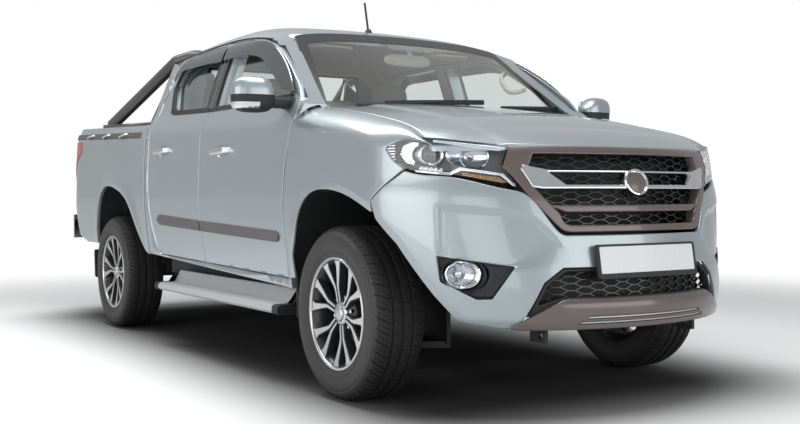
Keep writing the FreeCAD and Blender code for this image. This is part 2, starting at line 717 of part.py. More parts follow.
# Load bed: floor on cross sills, front wall and wheel housings
inner_y = bed_wall_y - seat_gap
bed_floor = box((bed_rear_x + tailgate_thickness + 2 * clearance, -inner_y, bed_floor_z - 34),
                (bed_front_x, inner_y, bed_floor_z))
sills = [box((x - 30, -inner_y + 40, bed_floor_z - 90), (x + 30, inner_y - 40, bed_floor_z - 20))
         for x in (-820, -1120, -1740, -2060, -2330)]
bed_wall = box((bed_front_x - 46, -inner_y, bed_floor_z - 10), (bed_front_x, inner_y, 1290))
housing_profile = [(-1010, bed_floor_z - 8), (-1060, 960), (-1200, 1035, True), (-1370, 1060, True),
                   (-1540, 1035, True), (-1690, 960), (-1740, bed_floor_z - 8)]
housing = side_prism(housing_profile, 545, inner_y)
housing_inner = [(-1035, bed_floor_z - 40), (-1080, 950), (-1210, 1018, True), (-1370, 1042, True),
                 (-1530, 1018, True), (-1670, 950), (-1715, bed_floor_z - 40)]
housing_void = side_prism(housing_inner, 562, inner_y + 1)
tub = join([bed_floor, bed_wall, housing, mirrored(housing)] + sills)
tub = tub.cut([housing_void, mirrored(housing_void)])
write("load_bed", tub)

# Bed sides with their top rails
bed_x = steps(bed_rear_x - 40, bed_front_x + 40, 20)
bed_z = steps(440, 1420, 24)
bed_slab = side_slab(bed_x, bed_z, 0, 220)
rail_rear_z = bed_rail_front_z + bed_rail_rise * (bed_front_x - bed_rear_x)
bed_outline = [(bed_rear_x, 640), (bed_rear_x, rail_rear_z), (bed_front_x, bed_rail_front_z), (bed_front_x, 505),
               (-850, 500), (-1900, 500), (-2100, 540)]
bed_side = bed_slab.common(side_prism(bed_outline, 500, 1100))
bed_side = bed_side.common(box((-2500, bed_wall_y, 300), (0, 1000, 1500))).cut(rear_arch)
lamp_box = box((bed_rear_x - 5, 790, 985), (bed_rear_x + 52, 1000, 1275))
tail_lamp = bed_side.common(box((bed_rear_x - 5, 790 + seat_gap, 985 + seat_gap),
                                (bed_rear_x + 52 - seat_gap, 1000, 1275 - seat_gap)))
bed_side = bed_side.cut(lamp_box)
bed_side = max(bed_side.Solids, key=lambda s: s.Volume)
gate_pin_x = bed_rear_x + tailgate_thickness - 14.0
gate_pin_z = tailgate_bottom_z + 14.0
gate_pin_radius = 8.0
gate_pin = rod((gate_pin_x, bed_wall_y + 5, gate_pin_z), (gate_pin_x, bed_wall_y - 18, gate_pin_z),
               gate_pin_radius)
bed_side = bed_side.fuse(gate_pin)
write("bed_sides", both_sides(bed_side))
write("tail_lamps", both_sides(tail_lamp))

# Tailgate
gate_half = bed_wall_y - clearance
gate = box((bed_rear_x, -gate_half, tailgate_bottom_z),
           (bed_rear_x + tailgate_thickness, gate_half, rail_rear_z - 6))
for s in (1, -1):
    gate = gate.cut(rod((gate_pin_x, s * (bed_wall_y - 20), gate_pin_z), (gate_pin_x, s * bed_wall_y, gate_pin_z),
                        gate_pin_radius + seat_gap))
write("tailgate", gate)

# Sports bar on the bed rails
bar_z = 1790.0 - 38.0
foot_z = bed_rail_front_z + 22.0
hoop = tube_path([(-1725, 800, foot_z + 42), (-880, 640, bar_z - 30), (-800, 560, bar_z), (-800, -560, bar_z),
                  (-880, -640, bar_z - 30), (-1725, -800, foot_z + 42)], 38.0, 60.0)
legs = [rod((-830, s * 800, foot_z), (-842, s * 600, bar_z - 10), 30) for s in (1, -1)]
plates = [side_prism([(-1790, 1330), (-760, 1290), (-760, bed_rail_front_z + 24), (-1790, bed_rail_front_z + 64)],
                     s * 810 - 38, s * 810 + 38) for s in (1, -1)]
bed_top = side_prism([(-1900, 1200), (-700, 1200), (-700, bed_rail_front_z + seat_gap - bed_rail_rise * 30),
                      (-1900, bed_rail_front_z + seat_gap + bed_rail_rise * 1170)], -1000, 1000)
write("sports_bar", join([hoop] + legs + plates).cut(bed_top))

# Rear step bumper on two brackets
bumper_tip_x = bed_rear_x - clearance
half_bumper = [(bumper_rear_x, -600), (bumper_rear_x + 8, -700, True), (bumper_rear_x + 52, -800, True),
               (bumper_rear_x + 120, -856, True), (bumper_tip_x, -880), (bumper_tip_x, -820), (-2500, -796, True),
               (-2552, -725, True), (-2570, -600)]
bumper_plan = half_bumper + [(x, -y) + tuple(rest) for x, y, *rest in reversed(half_bumper)]
rear_bumper = plan_prism(bumper_plan, 565, 735)
brackets = [box((-2572, s * rail_y - 30, 580), (frame_rear_x - seat_gap, s * rail_y + 30, 640)) for s in (1, -1)]
write("rear_bumper", join([rear_bumper] + brackets))

# Running boards on brackets from the frame
board_profile = [(760, 322), (928, 322), (940, 334), (940, 352), (928, 364), (842, 364), (806, 432),
                 (792, 432), (820, 348), (760, 348)]
board = front_prism(board_profile, -445, 1236)
board_arms = [box((x - 25, rail_y + rail_width / 2 + seat_gap, 330), (x + 25, 780, 348))
              for x in (-300, 350, 1050)]
arm_feet = [box((x - 25, rail_y + rail_width / 2 + seat_gap, 330), (x + 25, rail_y + rail_width / 2 + 14, 480))
            for x in (-300, 350, 1050)]
write("running_boards", both_sides(join([board] + board_arms + arm_feet)))

# Ladder frame of two rails, and its cross members, posts, fuel tank and exhaust, each seated against the rails
rail_profile = [(frame_rear_x, rear_rail_lift), (-980, rear_rail_lift), (-735, 0), (1200, 0), (1400, 40),
                (2000, 40), (2250, 0), (frame_front_x, 0)]
lower_line = [(x, rail_bottom_z + d) for x, d in rail_profile]
upper_line = [(x, rail_bottom_z + rail_height + d) for x, d in reversed(rail_profile)]
rails = [side_prism(lower_line + upper_line, s * rail_y - rail_width / 2, s * rail_y + rail_width / 2)
         for s in (1, -1)]
members = []
member_half = rail_y - rail_width / 2 - seat_gap
for x, low, high in ((2380, 20, 90), (1150, 20, 90), (300, 0, 40), (-520, 78, 112), (-1100, 140, 210),
                     (-1800, 140, 210), (-2400, 140, 210)):
    members.append(box((x - 35, -member_half, rail_bottom_z + low), (x + 35, member_half, rail_bottom_z + high)))
mounts = []
for x in (1000, 200, -420):
    for s in (1, -1):
        mounts.append(box((x - 40, s * rail_y - 30, rail_bottom_z + rail_height + seat_gap),
                          (x + 40, s * rail_y + 30, floor_z - seat_gap)))
bed_posts = []
for x in (-820, -1120, -1740, -2060, -2330):
    for s in (1, -1):
        lift = rear_rail_lift if x < -900 else 30.0
        bed_posts.append(box((x - 25, s * rail_y - 30, rail_bottom_z + rail_height + lift - 10),
                             (x + 25, s * rail_y + 30, bed_floor_z - 90 - seat_gap)))
bed_posts = [post.cut([rail.translated(V(0, 0, seat_gap)) for rail in rails]) for post in bed_posts]
tank = box((-400, 60, 350), (220, 345, 500))
tank = tank.makeFillet(30, tank.Edges)
muffler = rod((-350, -200, 390), (200, -200, 390), 80)
straps = [box((x - 20, 330, 420), (x + 20, member_half, 450)) for x in (-280, 100)]
hangers = [box((x - 12, -member_half, 410), (x + 12, -260, 424)) for x in (-250, 100)]
tow_eyes = []
for s in (1, -1):
    plate = box((2400, s * rail_y - tow_eye_width / 2, tow_eye_z - 2 * tow_eye_radius),
                (tow_eye_x + 2 * tow_eye_radius, s * rail_y + tow_eye_width / 2, 415))
    hole = rod((tow_eye_x, s * rail_y - 20, tow_eye_z), (tow_eye_x, s * rail_y + 20, tow_eye_z), tow_eye_radius)
    tow_eyes.append(plate.cut(hole))
write("chassis_frame", Part.makeCompound([join([rails[0], tow_eyes[0]]), join([rails[1], tow_eyes[1]])]))
fittings = members + mounts + bed_posts + [join([tank] + straps), join([muffler] + hangers)]
write("chassis_fittings", Part.makeCompound(fittings))

# Engine and gearbox as one block between the rails, on two mounts
engine = box((1420, -230, 470), (2120, 230, 1040))
gearbox = box((820, -110, rail_bottom_z + 90 + seat_gap), (1430, 110, 620))
engine_mounts = [box((1700, -rail_y + rail_width / 2 + seat_gap, 480),
                     (1780, rail_y - rail_width / 2 - seat_gap, 520))]
write("engine", join([engine, gearbox] + engine_mounts))

# Front panel with the radiator, standing on the rails, and two buffers under the hood
tie_bar = box((2280, -455, 965), (panel_x, 455, 1000))
uprights = [box((2290, s * rail_y - 35, rail_bottom_z + rail_height + seat_gap), (panel_x, s * rail_y + 35, 970))
            for s in (1, -1)]
radiator = box((2295, -380, 560), (panel_x, 380, 970))
front_panel = join([tie_bar, radiator] + uprights + panel_ears)
buffers = [rod((2305, s * 330, 990), (2305, s * 330, 1100), 15) for s in (1, -1)]
buffer_space = hood_face.extrude(V(0, 0, 160))
buffer_space.translate(V(0, 0, -hood_thickness - seat_gap))
buffers = [b.cut(buffer_space) for b in buffers]
write("front_panel", join([front_panel] + buffers))

# Front suspension: two wishbones and a strut each side, with the steering rack between
hub_z = tyre_radius
arm_inner_y = rail_y + rail_width / 2 + seat_gap
lower_plan = [(front_axle_x - 190, arm_inner_y), (front_axle_x + 190, arm_inner_y),
              (front_axle_x + 24, kingpin_y + 22), (front_axle_x - 24, kingpin_y + 22)]
upper_plan = [(front_axle_x - 110, arm_inner_y), (front_axle_x + 110, arm_inner_y),
              (front_axle_x + 20, kingpin_y + 20), (front_axle_x - 20, kingpin_y + 20)]
lower_arm = plan_prism(lower_plan, hub_z - 158, hub_z - 130)
arm_tower = box((front_axle_x - 190, arm_inner_y, hub_z - 140),
                (front_axle_x + 190, arm_inner_y + 20, hub_z + 190))
upper_arm = plan_prism(upper_plan, hub_z + 116, hub_z + 140)
strut = rod((front_axle_x, 560, hub_z - 135), (front_axle_x, 500, hub_z + 330), 42)
front_side = join([lower_arm, arm_tower, upper_arm, strut])
write("front_suspension", both_sides(front_side))

# Steering knuckles with spindles
knuckle = box((front_axle_x - 26, kingpin_y - 22, hub_z - 120), (front_axle_x + 26, kingpin_y + 14, hub_z + 106))
studs = rod((front_axle_x, kingpin_y, hub_z - 130 + seat_gap),
            (front_axle_x, kingpin_y, hub_z + 116 - seat_gap), 13)
flange = rod((front_axle_x, kingpin_y, hub_z), (front_axle_x, wheel_centre_y - 62, hub_z), 52)
spindle = rod((front_axle_x, kingpin_y, hub_z), (front_axle_x, wheel_centre_y + 30, hub_z), hub_bore_radius)
knuckle = join([knuckle, studs, flange, spindle])
write("knuckle_l", knuckle)
write("knuckle_r", mirrored(knuckle))

# Rear axle with differential and drive shaft, on leaf springs
axle = rod((rear_axle_x, -wheel_centre_y + 62, hub_z), (rear_axle_x, wheel_centre_y - 62, hub_z), 42)
rear_spindle = rod((rear_axle_x, -wheel_centre_y - 30, hub_z), (rear_axle_x, wheel_centre_y + 30, hub_z),
                   hub_bore_radius)
differential = Part.makeSphere(120, V(rear_axle_x, 0, hub_z))
shaft = rod((rear_axle_x + 60, 0, hub_z + 10), (808, 0, 520), 30)
springs = []
spring_y = 520.0
for s in (1, -1):
    leaf = side_prism([(rear_axle_x - 640, 540), (rear_axle_x, 440, True), (rear_axle_x + 640, 540),
                       (rear_axle_x + 640, 575), (rear_axle_x, 474, True), (rear_axle_x - 640, 575)],
                      s * spring_y - 32, s * spring_y + 32)
    pad = box((rear_axle_x - 50, s * spring_y - 36, hub_z), (rear_axle_x + 50, s * spring_y + 36, 455))
    springs += [leaf, pad]
    for x in (rear_axle_x - 615, rear_axle_x + 615):
        inner = rail_y + rail_width / 2 + seat_gap
        low, high = sorted((s * inner, s * (spring_y + 20)))
        springs.append(box((x - 25, low, 545), (x + 25, high, 600)))
write("rear_suspension", join([axle, rear_spindle, differential, shaft] + springs))

# Arch liners of the front wheels, and mud flaps
liner_y = 590.0


def grown(points, centre, amount):
    """Outline moved away from a centre by about an amount."""
    result = []
    for p in points:
        away = (p[0] - centre[0], p[1] - centre[1])
        scale = 1 + amount / math.hypot(*away)
        result.append((centre[0] + away[0] * scale, centre[1] + away[1] * scale) + tuple(p[2:]))
    return result


arch_centre = (front_axle_x + 60, 430)
outer_arch = side_prism(grown(arch_outline(front_axle_x, 0, 0), arch_centre, 14), liner_y, 1000)
inner_arch = side_prism(grown(arch_outline(front_axle_x, 0, 0), arch_centre, 5), liner_y - 5, 1005)
liner = outer_arch.cut(inner_arch).common(box((1290, liner_y - 5, 620), (1940, 1000, 1000)))
liner = liner.cut(side_slab(steps(1200, 2050, 16), steps(560, 960, 10), -60, fender_thickness + 4))
liner = max(liner.Solids, key=lambda s: s.Volume)
flap = box((1242 + seat_gap, 700, 300), (1256, 850, 600))
rear_flap = box((-1852, 765, 300), (-1840, 900, 500 - seat_gap))
flaps = [flap, mirrored(flap), rear_flap, mirrored(rear_flap)]
write("wheel_liners", Part.makeCompound([liner, mirrored(liner)] + flaps))

# Dashboard, seats and steering wheel
dashboard = side_prism([(1200 - seat_gap, 700), (1200 - seat_gap, 1230), (1100, 1240, True), (960, 1200, True),
                        (930, 1060), (1010, 980), (1060, 700)], -735, 735)
seat_y = -370.0
wheel_axis = V(-110, 0, 50).normalize()
wheel_centre = V(850, seat_y, 1110) + wheel_axis * 30
column = rod((960, seat_y, 1060), tuple(wheel_centre - wheel_axis * (25 + seat_gap)), 30)
write("dashboard", join([dashboard, column]))


def seat(centre_x, low_y, high_y):
    """Seat with cushion, back and base."""
    base = box((centre_x - 230, low_y + 60, floor_z + 40 + seat_gap), (centre_x + 180, high_y - 60, 720))
    cushion_side = [(centre_x - 260, 710), (centre_x + 260, 725), (centre_x + 250, 835), (centre_x - 250, 800)]
    cushion = side_prism(cushion_side, low_y, high_y)
    back_side = [(centre_x - 330, 760), (centre_x - 190, 770), (centre_x - 300, 1330), (centre_x - 420, 1330)]
    back = side_prism(back_side, low_y + 20, high_y - 20)
    return join([base, cushion, back])


front_seats = [seat(420, s * 370 - 250, s * 370 + 250) for s in (1, -1)]
rear_seat = seat(-290, -640, 640)
rear_seat = rear_seat.common(box((cab_rear_x + 41, -700, 500), (400, 700, 1400)))
write("seats", Part.makeCompound(front_seats + [rear_seat]))
ring = Part.makeTorus(185, 15, wheel_centre, wheel_axis)
hub = Part.makeCylinder(60, 40, wheel_centre - wheel_axis * 25, wheel_axis)
cross_dir = wheel_axis.cross(Y_AXIS)
downward = cross_dir * (1 if cross_dir.z < 0 else -1)
spokes = [rod(tuple(wheel_centre), tuple(wheel_centre + d * 183), 13) for d in (Y_AXIS, Y_AXIS * -1, downward)]
write("steering_wheel", join([ring, hub] + spokes))

# Antenna on the roof
antenna = rod((435, 0, roof_z(435, 0)), (395, 0, 1955), 6)
antenna_foot = Part.makeCone(28, 12, 28, V(435, 0, roof_z(435, 0) - 10))
under_roof = roof_face.extrude(V(0, 0, -60))
under_roof.translate(V(0, 0, seat_gap))
antenna = join([antenna, antenna_foot]).cut(under_roof)
write("antenna", max(antenna.Solids, key=lambda s: s.Volume))


# Wheels
def revolve_y(profile, centre):
    """Solid of revolution about the wheel axis from (radius, y offset) points."""
    points = [V(centre.x + r, centre.y + y, centre.z) for r, y in profile]
    wire = Part.makePolygon(points + [points[0]])
    return Part.Face(wire).revolve(centre, Y_AXIS, 360)


half_tyre = tyre_width / 2
spoke_count = 6
spoke_half = 14.0
fork_radius = 118.0
arm_half = 10.0
fork_end_radius = rim_lip_radius - 18.0
fork_angle = math.pi / spoke_count / 2
arm_way = V(fork_end_radius * math.cos(fork_angle) - fork_radius, fork_end_radius * math.sin(fork_angle), 0)
arm_way.normalize()
arm_end = V(fork_end_radius * math.cos(fork_angle), fork_end_radius * math.sin(fork_angle), 0)
arm_across = V(-arm_way.y, arm_way.x, 0) * arm_half
half_spoke = [(58.0, -spoke_half), (fork_radius - 6, -spoke_half),
              (arm_end.x + arm_across.x, -(arm_end.y + arm_across.y)),
              (arm_end.x - arm_across.x, -(arm_end.y - arm_across.y))]
fork_crotch = fork_radius - arm_across.x + arm_across.y * arm_way.x / arm_way.y
spoke_outline = half_spoke + [(fork_crotch, 0.0)] + [(r, -t) for r, t in reversed(half_spoke)]


def tyre(centre):
    """Tyre with rounded shoulders and three grooves."""
    bead = rim_lip_radius - 8
    profile = [(bead, half_tyre - 22), (bead + 40, half_tyre - 4), (bead + 75, half_tyre),
               (tyre_radius - 36, half_tyre - 8), (tyre_radius - 8, half_tyre - 28), (tyre_radius - 1, half_tyre - 50)]
    tread = [(tyre_radius, 52), (tyre_radius - 8, 49), (tyre_radius - 8, 41), (tyre_radius, 38),
             (tyre_radius, 6), (tyre_radius - 8, 5)]
    half = profile + tread
    whole = half + [(r, -y) for r, y in reversed(half)]
    return revolve_y(whole, centre)


def rim(centre, side):
    """Alloy rim: barrel, hub and forked spokes, with the brake disc behind."""
    face_y = side * (half_tyre - 14)
    barrel = [(rim_lip_radius - 8.5, -rim_width / 2), (rim_lip_radius - 8.5, rim_width / 2),
              (rim_lip_radius - 22, rim_width / 2), (rim_lip_radius - 40, 60), (rim_lip_radius - 40, -60),
              (rim_lip_radius - 22, -rim_width / 2)]
    drum = revolve_y(barrel, centre)
    low, high = sorted((side * 42, face_y - side * 20))
    hub_body = revolve_y([(0, low), (78, low), (78, high), (0, high)], centre)
    arm_low, arm_high = sorted((face_y - side * 40, face_y - side * 12))
    arms = []
    for i in range(spoke_count):
        arm = side_prism(spoke_outline, arm_low, arm_high)
        arm.rotate(V(0, 0, 0), Y_AXIS, 360.0 * i / spoke_count)
        arm.translate(centre)
        arms.append(arm)
    low, high = sorted((-side * 34, -side * 12))
    bore = hub_bore_radius + seat_gap
    disc = revolve_y([(bore, low), (disc_radius, low), (disc_radius, high), (bore, high)], centre)
    low, high = sorted((-side * 34, side * 45))
    neck = revolve_y([(bore, low), (70, low), (70, high), (bore, high)], centre)
    whole = join([drum, hub_body] + arms + [disc, neck])
    low, high = sorted((-side * 40, side * (30 + seat_gap)))
    return whole.cut(revolve_y([(0, low), (bore, low), (bore, high), (0, high)], centre))


for name, axle_x in (("f", front_axle_x), ("r", rear_axle_x)):
    for letter, side in (("l", 1), ("r", -1)):
        centre = V(axle_x, side * wheel_centre_y, tyre_radius)
        write("tyre_" + name + letter, tyre(centre))
        write("rim_" + name + letter, rim(centre, side))

print("hinges", hinge_front_x, hinge_front_y, hinge_rear_x, hinge_rear_y)
print("hood hinge", hood_rear_x + 12, hood_line_z(hood_rear_x + 12) - 6)
print("tailgate hinge", gate_pin_x, gate_pin_z)
print("steering wheel", wheel_centre, wheel_axis)
whole_box = Part.makeCompound(list(written.values())).BoundBox
print("size", round(whole_box.XLength), round(whole_box.YLength), round(whole_box.ZLength))
print("low", whole_box.XMin, whole_box.YMin, whole_box.ZMin)
print("high", whole_box.XMax, whole_box.YMax, whole_box.ZMax)
print("nodes", len(written))
for name, shape in written.items():
    print(name, len(shape.Solids), shape.isValid(), round(shape.Volume / 1e6, 2), "litres")
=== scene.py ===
"""Finish of the double-cab pickup truck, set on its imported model.

Shapes are worked out in millimetres and stored in metres: +X is forward, +Y the vehicle's left and
+Z up, with the origin on the ground at the middle of the truck.
"""
import math

import bmesh
import bpy
import numpy as np
from mathutils import Matrix
from mathutils.geometry import delaunay_2d_cdt


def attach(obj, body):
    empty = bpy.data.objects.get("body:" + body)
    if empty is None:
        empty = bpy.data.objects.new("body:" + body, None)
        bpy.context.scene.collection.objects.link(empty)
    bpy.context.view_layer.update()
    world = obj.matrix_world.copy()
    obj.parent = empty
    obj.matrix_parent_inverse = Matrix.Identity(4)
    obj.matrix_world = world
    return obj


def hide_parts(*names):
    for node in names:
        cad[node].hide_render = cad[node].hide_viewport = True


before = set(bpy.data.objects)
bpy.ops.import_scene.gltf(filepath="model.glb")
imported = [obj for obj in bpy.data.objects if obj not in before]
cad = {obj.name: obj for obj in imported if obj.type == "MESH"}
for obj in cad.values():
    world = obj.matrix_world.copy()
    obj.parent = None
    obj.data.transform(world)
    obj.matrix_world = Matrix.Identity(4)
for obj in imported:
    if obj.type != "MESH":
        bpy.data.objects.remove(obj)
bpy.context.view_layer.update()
scene = bpy.context.scene
scene.view_settings.view_transform = "Standard"

# Camera: a 48 mm lens at standing chest height, ahead of the truck and to its right, as the
# photograph was taken. The small shift only puts the truck where the frame has it.
view = bpy.data.cameras.new("view")
view.sensor_width = 36.0
view.lens = 47.95
view.shift_x = -0.0403
view.shift_y = 0.00255
view.clip_end = 200.0
camera = bpy.data.objects.new("camera", view)
scene.collection.objects.link(camera)
yaw, pitch, roll = 2.5618, -0.0160, -0.0037
ahead = np.array([math.cos(pitch) * math.cos(yaw), math.cos(pitch) * math.sin(yaw), math.sin(pitch)])
level = np.array([math.sin(yaw), -math.cos(yaw), 0.0])
upright = np.cross(level, ahead)
right = math.cos(roll) * level + math.sin(roll) * upright
upward = np.cross(right, ahead)
turn = np.column_stack([right, upward, -ahead])
stand = (5.6638, -2.9985, 0.8565)
camera.matrix_world = Matrix([[*turn[i], stand[i]] for i in range(3)] + [[0, 0, 0, 1]])
scene.camera = camera


# Studio: a white sweep of floor that fades into a white surround. A painted floor scatters light evenly, so
# it is a plain diffuse surface that keeps the truck's soft shadow, with a painted shadow darkening its colour
# under the truck.
def linear(hex_colour):
    """Linear red, green, blue and alpha of an sRGB hex colour."""
    c = np.array([int(hex_colour[i:i + 2], 16) for i in (1, 3, 5)]) / 255
    return tuple(np.where(c <= 0.04045, c / 12.92, ((c + 0.055) / 1.055) ** 2.4)) + (1.0,)


def add(tree, kind, settings=(), links=()):
    """Adds a node to a tree, with values for its sockets or properties and links into its sockets."""
    node = tree.nodes.new(kind)
    for key, value in dict(settings).items():
        if isinstance(key, int) or key in node.inputs:
            node.inputs[key].default_value = value
        else:
            setattr(node, key, value)
    for source, target in links:
        tree.links.new(source, node.inputs[target])
    return node


def white_share(tree, mirrored_rays):
    """One for rays of the camera or through glass, which see plain white, and a share for mirrored rays."""
    rays = add(tree, "ShaderNodeLightPath")
    seen = add(tree, "ShaderNodeMath", {"operation": "MAXIMUM"},
               [(rays.outputs["Is Camera Ray"], 0), (rays.outputs["Is Transmission Ray"], 1)])
    return add(tree, "ShaderNodeMath", {"operation": "MULTIPLY_ADD", 1: mirrored_rays},
               [(rays.outputs["Is Glossy Ray"], 0), (seen.outputs[0], 2)])


# Painted shadow: darkest on the floor under the truck, on a rectangle of these half sizes, lighter within a
# metre.
painted_shadow_half_size = (2.1, 0.62, 0.0)
sweep = bpy.data.materials.new("white_sweep")
sweep.use_nodes = True
tree = sweep.node_tree
tree.nodes.clear()
where = add(tree, "ShaderNodeTexCoord")
reach = add(tree, "ShaderNodeVectorMath", {"operation": "LENGTH"}, [(where.outputs["Object"], 0)])
fade = add(tree, "ShaderNodeMapRange", {"From Min": 3.4, "From Max": 7.0, "interpolation_type": "SMOOTHSTEP"},
           [(reach.outputs["Value"], "Value")])
seen = white_share(tree, 0.4)
share = add(tree, "ShaderNodeMath", {"operation": "MULTIPLY"},
            [(seen.outputs[0], 0), (fade.outputs["Result"], 1)])
beyond = add(tree, "ShaderNodeVectorMath", {"operation": "ABSOLUTE"}, [(where.outputs["Object"], 0)])
beyond = add(tree, "ShaderNodeVectorMath", {"operation": "SUBTRACT", 1: painted_shadow_half_size}, [(beyond.outputs[0], 0)])
beyond = add(tree, "ShaderNodeVectorMath", {"operation": "MAXIMUM", 1: (0.0, 0.0, 0.0)},
             [(beyond.outputs[0], 0)])
beyond = add(tree, "ShaderNodeVectorMath", {"operation": "LENGTH"}, [(beyond.outputs[0], 0)])
# Painted shadow: the floor's colour fades from dark grey under the truck to near white over a metre.
painted_shadow_fade = add(tree, "ShaderNodeMapRange", {"From Min": 0.0, "From Max": 1.0, "interpolation_type": "SMOOTHSTEP"},
           [(beyond.outputs["Value"], "Value")])
shade = add(tree, "ShaderNodeMix", {"data_type": "RGBA", 6: linear("#4C4C4C"), 7: linear("#F4F4F4")},
            [(painted_shadow_fade.outputs["Result"], 0)])
paint = add(tree, "ShaderNodeBsdfDiffuse", (), [(shade.outputs[2], "Color")])
glow = add(tree, "ShaderNodeEmission", {"Color": (1, 1, 1, 1), "Strength": 1.0})
both = add(tree, "ShaderNodeMixShader", (),
           [(share.outputs[0], 0), (paint.outputs[0], 1), (glow.outputs[0], 2)])
add(tree, "ShaderNodeOutputMaterial", (), [(both.outputs[0], "Surface")])

floor_mesh = bpy.data.meshes.new("floor")
floor_mesh.from_pydata([(-60, -60, 0), (60, -60, 0), (60, 60, 0), (-60, 60, 0)], [], [(0, 1, 2, 3)])
floor = bpy.data.objects.new("floor", floor_mesh)
scene.collection.objects.link(floor)
floor.data.materials.append(sweep)

world = bpy.data.worlds.new("surround")
scene.world = world
world.use_nodes = True
tree = world.node_tree
tree.nodes.clear()
seen = white_share(tree, 0.22)
soft = add(tree, "ShaderNodeBackground", {"Color": linear("#F4F6F8"), "Strength": 0.34})
white = add(tree, "ShaderNodeBackground", {"Color": (1, 1, 1, 1), "Strength": 1.0})
both = add(tree, "ShaderNodeMixShader", (),
           [(seen.outputs[0], 0), (soft.outputs[0], 1), (white.outputs[0], 2)])
add(tree, "ShaderNodeOutputWorld", (), [(both.outputs[0], "Surface")])

for name, place, target, size, power in (
        ("overhead_softbox", (0.6, -1.0, 4.6), (0.3, 0.1, 0.0), (7.0, 2.0), 255.0),
        ("side_softbox", (2.0, -6.5, 1.7), (1.0, 0.0, 0.9), (6.5, 3.2), 150.0),
        ("corner_softbox", (9.0, -5.6, 1.9), (2.2, -0.6, 0.8), (4.0, 3.2), 60.0),
        ("front_softbox", (9.4, 2.2, 1.9), (2.4, 0.0, 0.8), (7.4, 3.2), 170.0)):
    lamp = bpy.data.lights.new(name, "AREA")
    lamp.shape = "RECTANGLE"
    lamp.size, lamp.size_y = size
    lamp.energy = power
    holder = bpy.data.objects.new(name, lamp)
    scene.collection.objects.link(holder)
    aim = np.array(target) - np.array(place)
    back = -aim / np.linalg.norm(aim)
    across = np.cross([0.0, 0.0, 1.0], back)
    across = across / np.linalg.norm(across) if np.linalg.norm(across) > 0.2 else np.array([1.0, 0.0, 0.0])
    rise = np.cross(back, across)
    holder.matrix_world = Matrix([[across[i], rise[i], back[i], place[i]] for i in range(3)] + [[0, 0, 0, 1]])


# Front fenders: pressed sheet steel, primed, sprayed with a silver-blue base coat full of metal
# flakes and covered with clear lacquer. They are bolted to the inner wings and hemmed at the edges.
half_width, widest_z, shoulder_z, belt_z = 915.0, 900.0, 1185.0, 1312.0
rake, rake_from_x, body_bow_x = 0.03, 1300.0, 150.0
front_axle_x, rear_axle_x, hub_z = 1705.0, -1430.0, 368.0
nose_start_x, nose_front_x, nose_lean_z = 1955.0, 2660.0, 480.0
hood_edge_y, panel_gap, half_gap = 760.0, 7.0, 3.5


def ramp(distance, softness):
    """A slope of one from zero distance on: half of the distance plus its hypotenuse with the softness."""
    return (distance + np.hypot(distance, softness)) / 2


def smooth(t):
    """The step 3 t squared less 2 t cubed, with t held between 0 and 1."""
    t = np.clip(t, 0.0, 1.0)
    return t * t * (3 - 2 * t)


def side_y(x, z):
    """Half width of the body: a bowed plan, leaning in above the shoulder and belt, tucked under below
    the widest height, and swelling in a smooth step around each wheel arch."""
    width = half_width - np.where(x > body_bow_x, 20.0, 6.0) * ((x - body_bow_x) / 1700.0) ** 2
    height = z - rake * (rake_from_x - x)
    inset = 0.05 * ramp(height - 950.0, 50.0) + 0.45 * ramp(height - shoulder_z, 18.0)
    inset = inset - 0.22 * ramp(height - belt_z, 12.0) + 0.00018 * np.maximum(0.0, height - belt_z) ** 2
    inset = inset + 85.0 * (np.maximum(0.0, widest_z - z) / 600.0) ** 1.9
    for axle_x, lift in ((front_axle_x, 0.0), (rear_axle_x + 60.0, 46.0)):
        distance = np.hypot(x - axle_x - 30.0, z - 430.0 - lift) - 470.0
        width = width + 16.0 * (1 - smooth(distance / 90.0))
    return width - inset


def nose_x(z):
    """Station of the nose on the centreline: straight up, then leaning back from the bumper line on."""
    lean = 0.225 * ramp(z - nose_lean_z, 60.0) + 0.35 * ramp(z - 1045.0, 30.0)
    return nose_front_x - lean - 0.10 * ramp(nose_lean_z - 20.0 - z, 60.0)


def nose_side_y(x, z):
    """Half width of the body with the elliptic rounding of the nose ahead of its start."""
    share = np.clip((x - nose_start_x) / (nose_x(z) - nose_start_x), 0.0, 0.99)
    return side_y(np.minimum(x, nose_start_x), z) * np.sqrt(1 - share ** 2)


def nose_plan_x(y, z):
    """Station of the elliptic nose at a width and a height."""
    share = np.clip(np.abs(y) / side_y(nose_start_x, z), 0.0, 0.999)
    return nose_start_x + (nose_x(z) - nose_start_x) * np.sqrt(1 - share * share)


def hood_line_z(x):
    """Height of the seam between hood and fender: a falling line that bends down at the nose."""
    bent = 6.0e-5 * np.maximum(0.0, x - 1300.0) ** 2
    return 1272.0 - 0.105 * (x - 1300.0) - bent - 0.30 * ramp(x - 2235.0, 40.0)


def run_length(line):
    """Distance along a line of points up to each of them."""
    return np.concatenate([[0.0], np.cumsum(np.linalg.norm(np.diff(line, axis=0), axis=1))])


def cubic_through(points, step):
    """Cubic pieces through the points, with slope and curvature equal where they meet, sampled at a step."""
    p = np.array(points, float)
    t = run_length(p)
    h = np.diff(t)
    n = len(p)
    a = np.eye(n)
    b = np.zeros(p.shape)
    i = np.arange(1, n - 1)
    a[i, i - 1], a[i, i], a[i, i + 1] = h[:-1], 2 * (h[:-1] + h[1:]), h[1:]
    slopes = np.diff(p, axis=0) / h[:, None]
    b[1:-1] = 6 * np.diff(slopes, axis=0)
    m = np.linalg.solve(a, b)
    s = np.linspace(0.0, t[-1], max(2, int(t[-1] / step) + 2))
    k = np.clip(np.searchsorted(t, s, side="right") - 1, 0, n - 2)
    lead, left, hk = (s - t[k])[:, None], (t[k + 1] - s)[:, None], h[k][:, None]
    return ((m[k] * left ** 3 + m[k + 1] * lead ** 3) / (6 * hk) + (p[k] / hk - m[k] * hk / 6) * left
            + (p[k + 1] / hk - m[k + 1] * hk / 6) * lead)


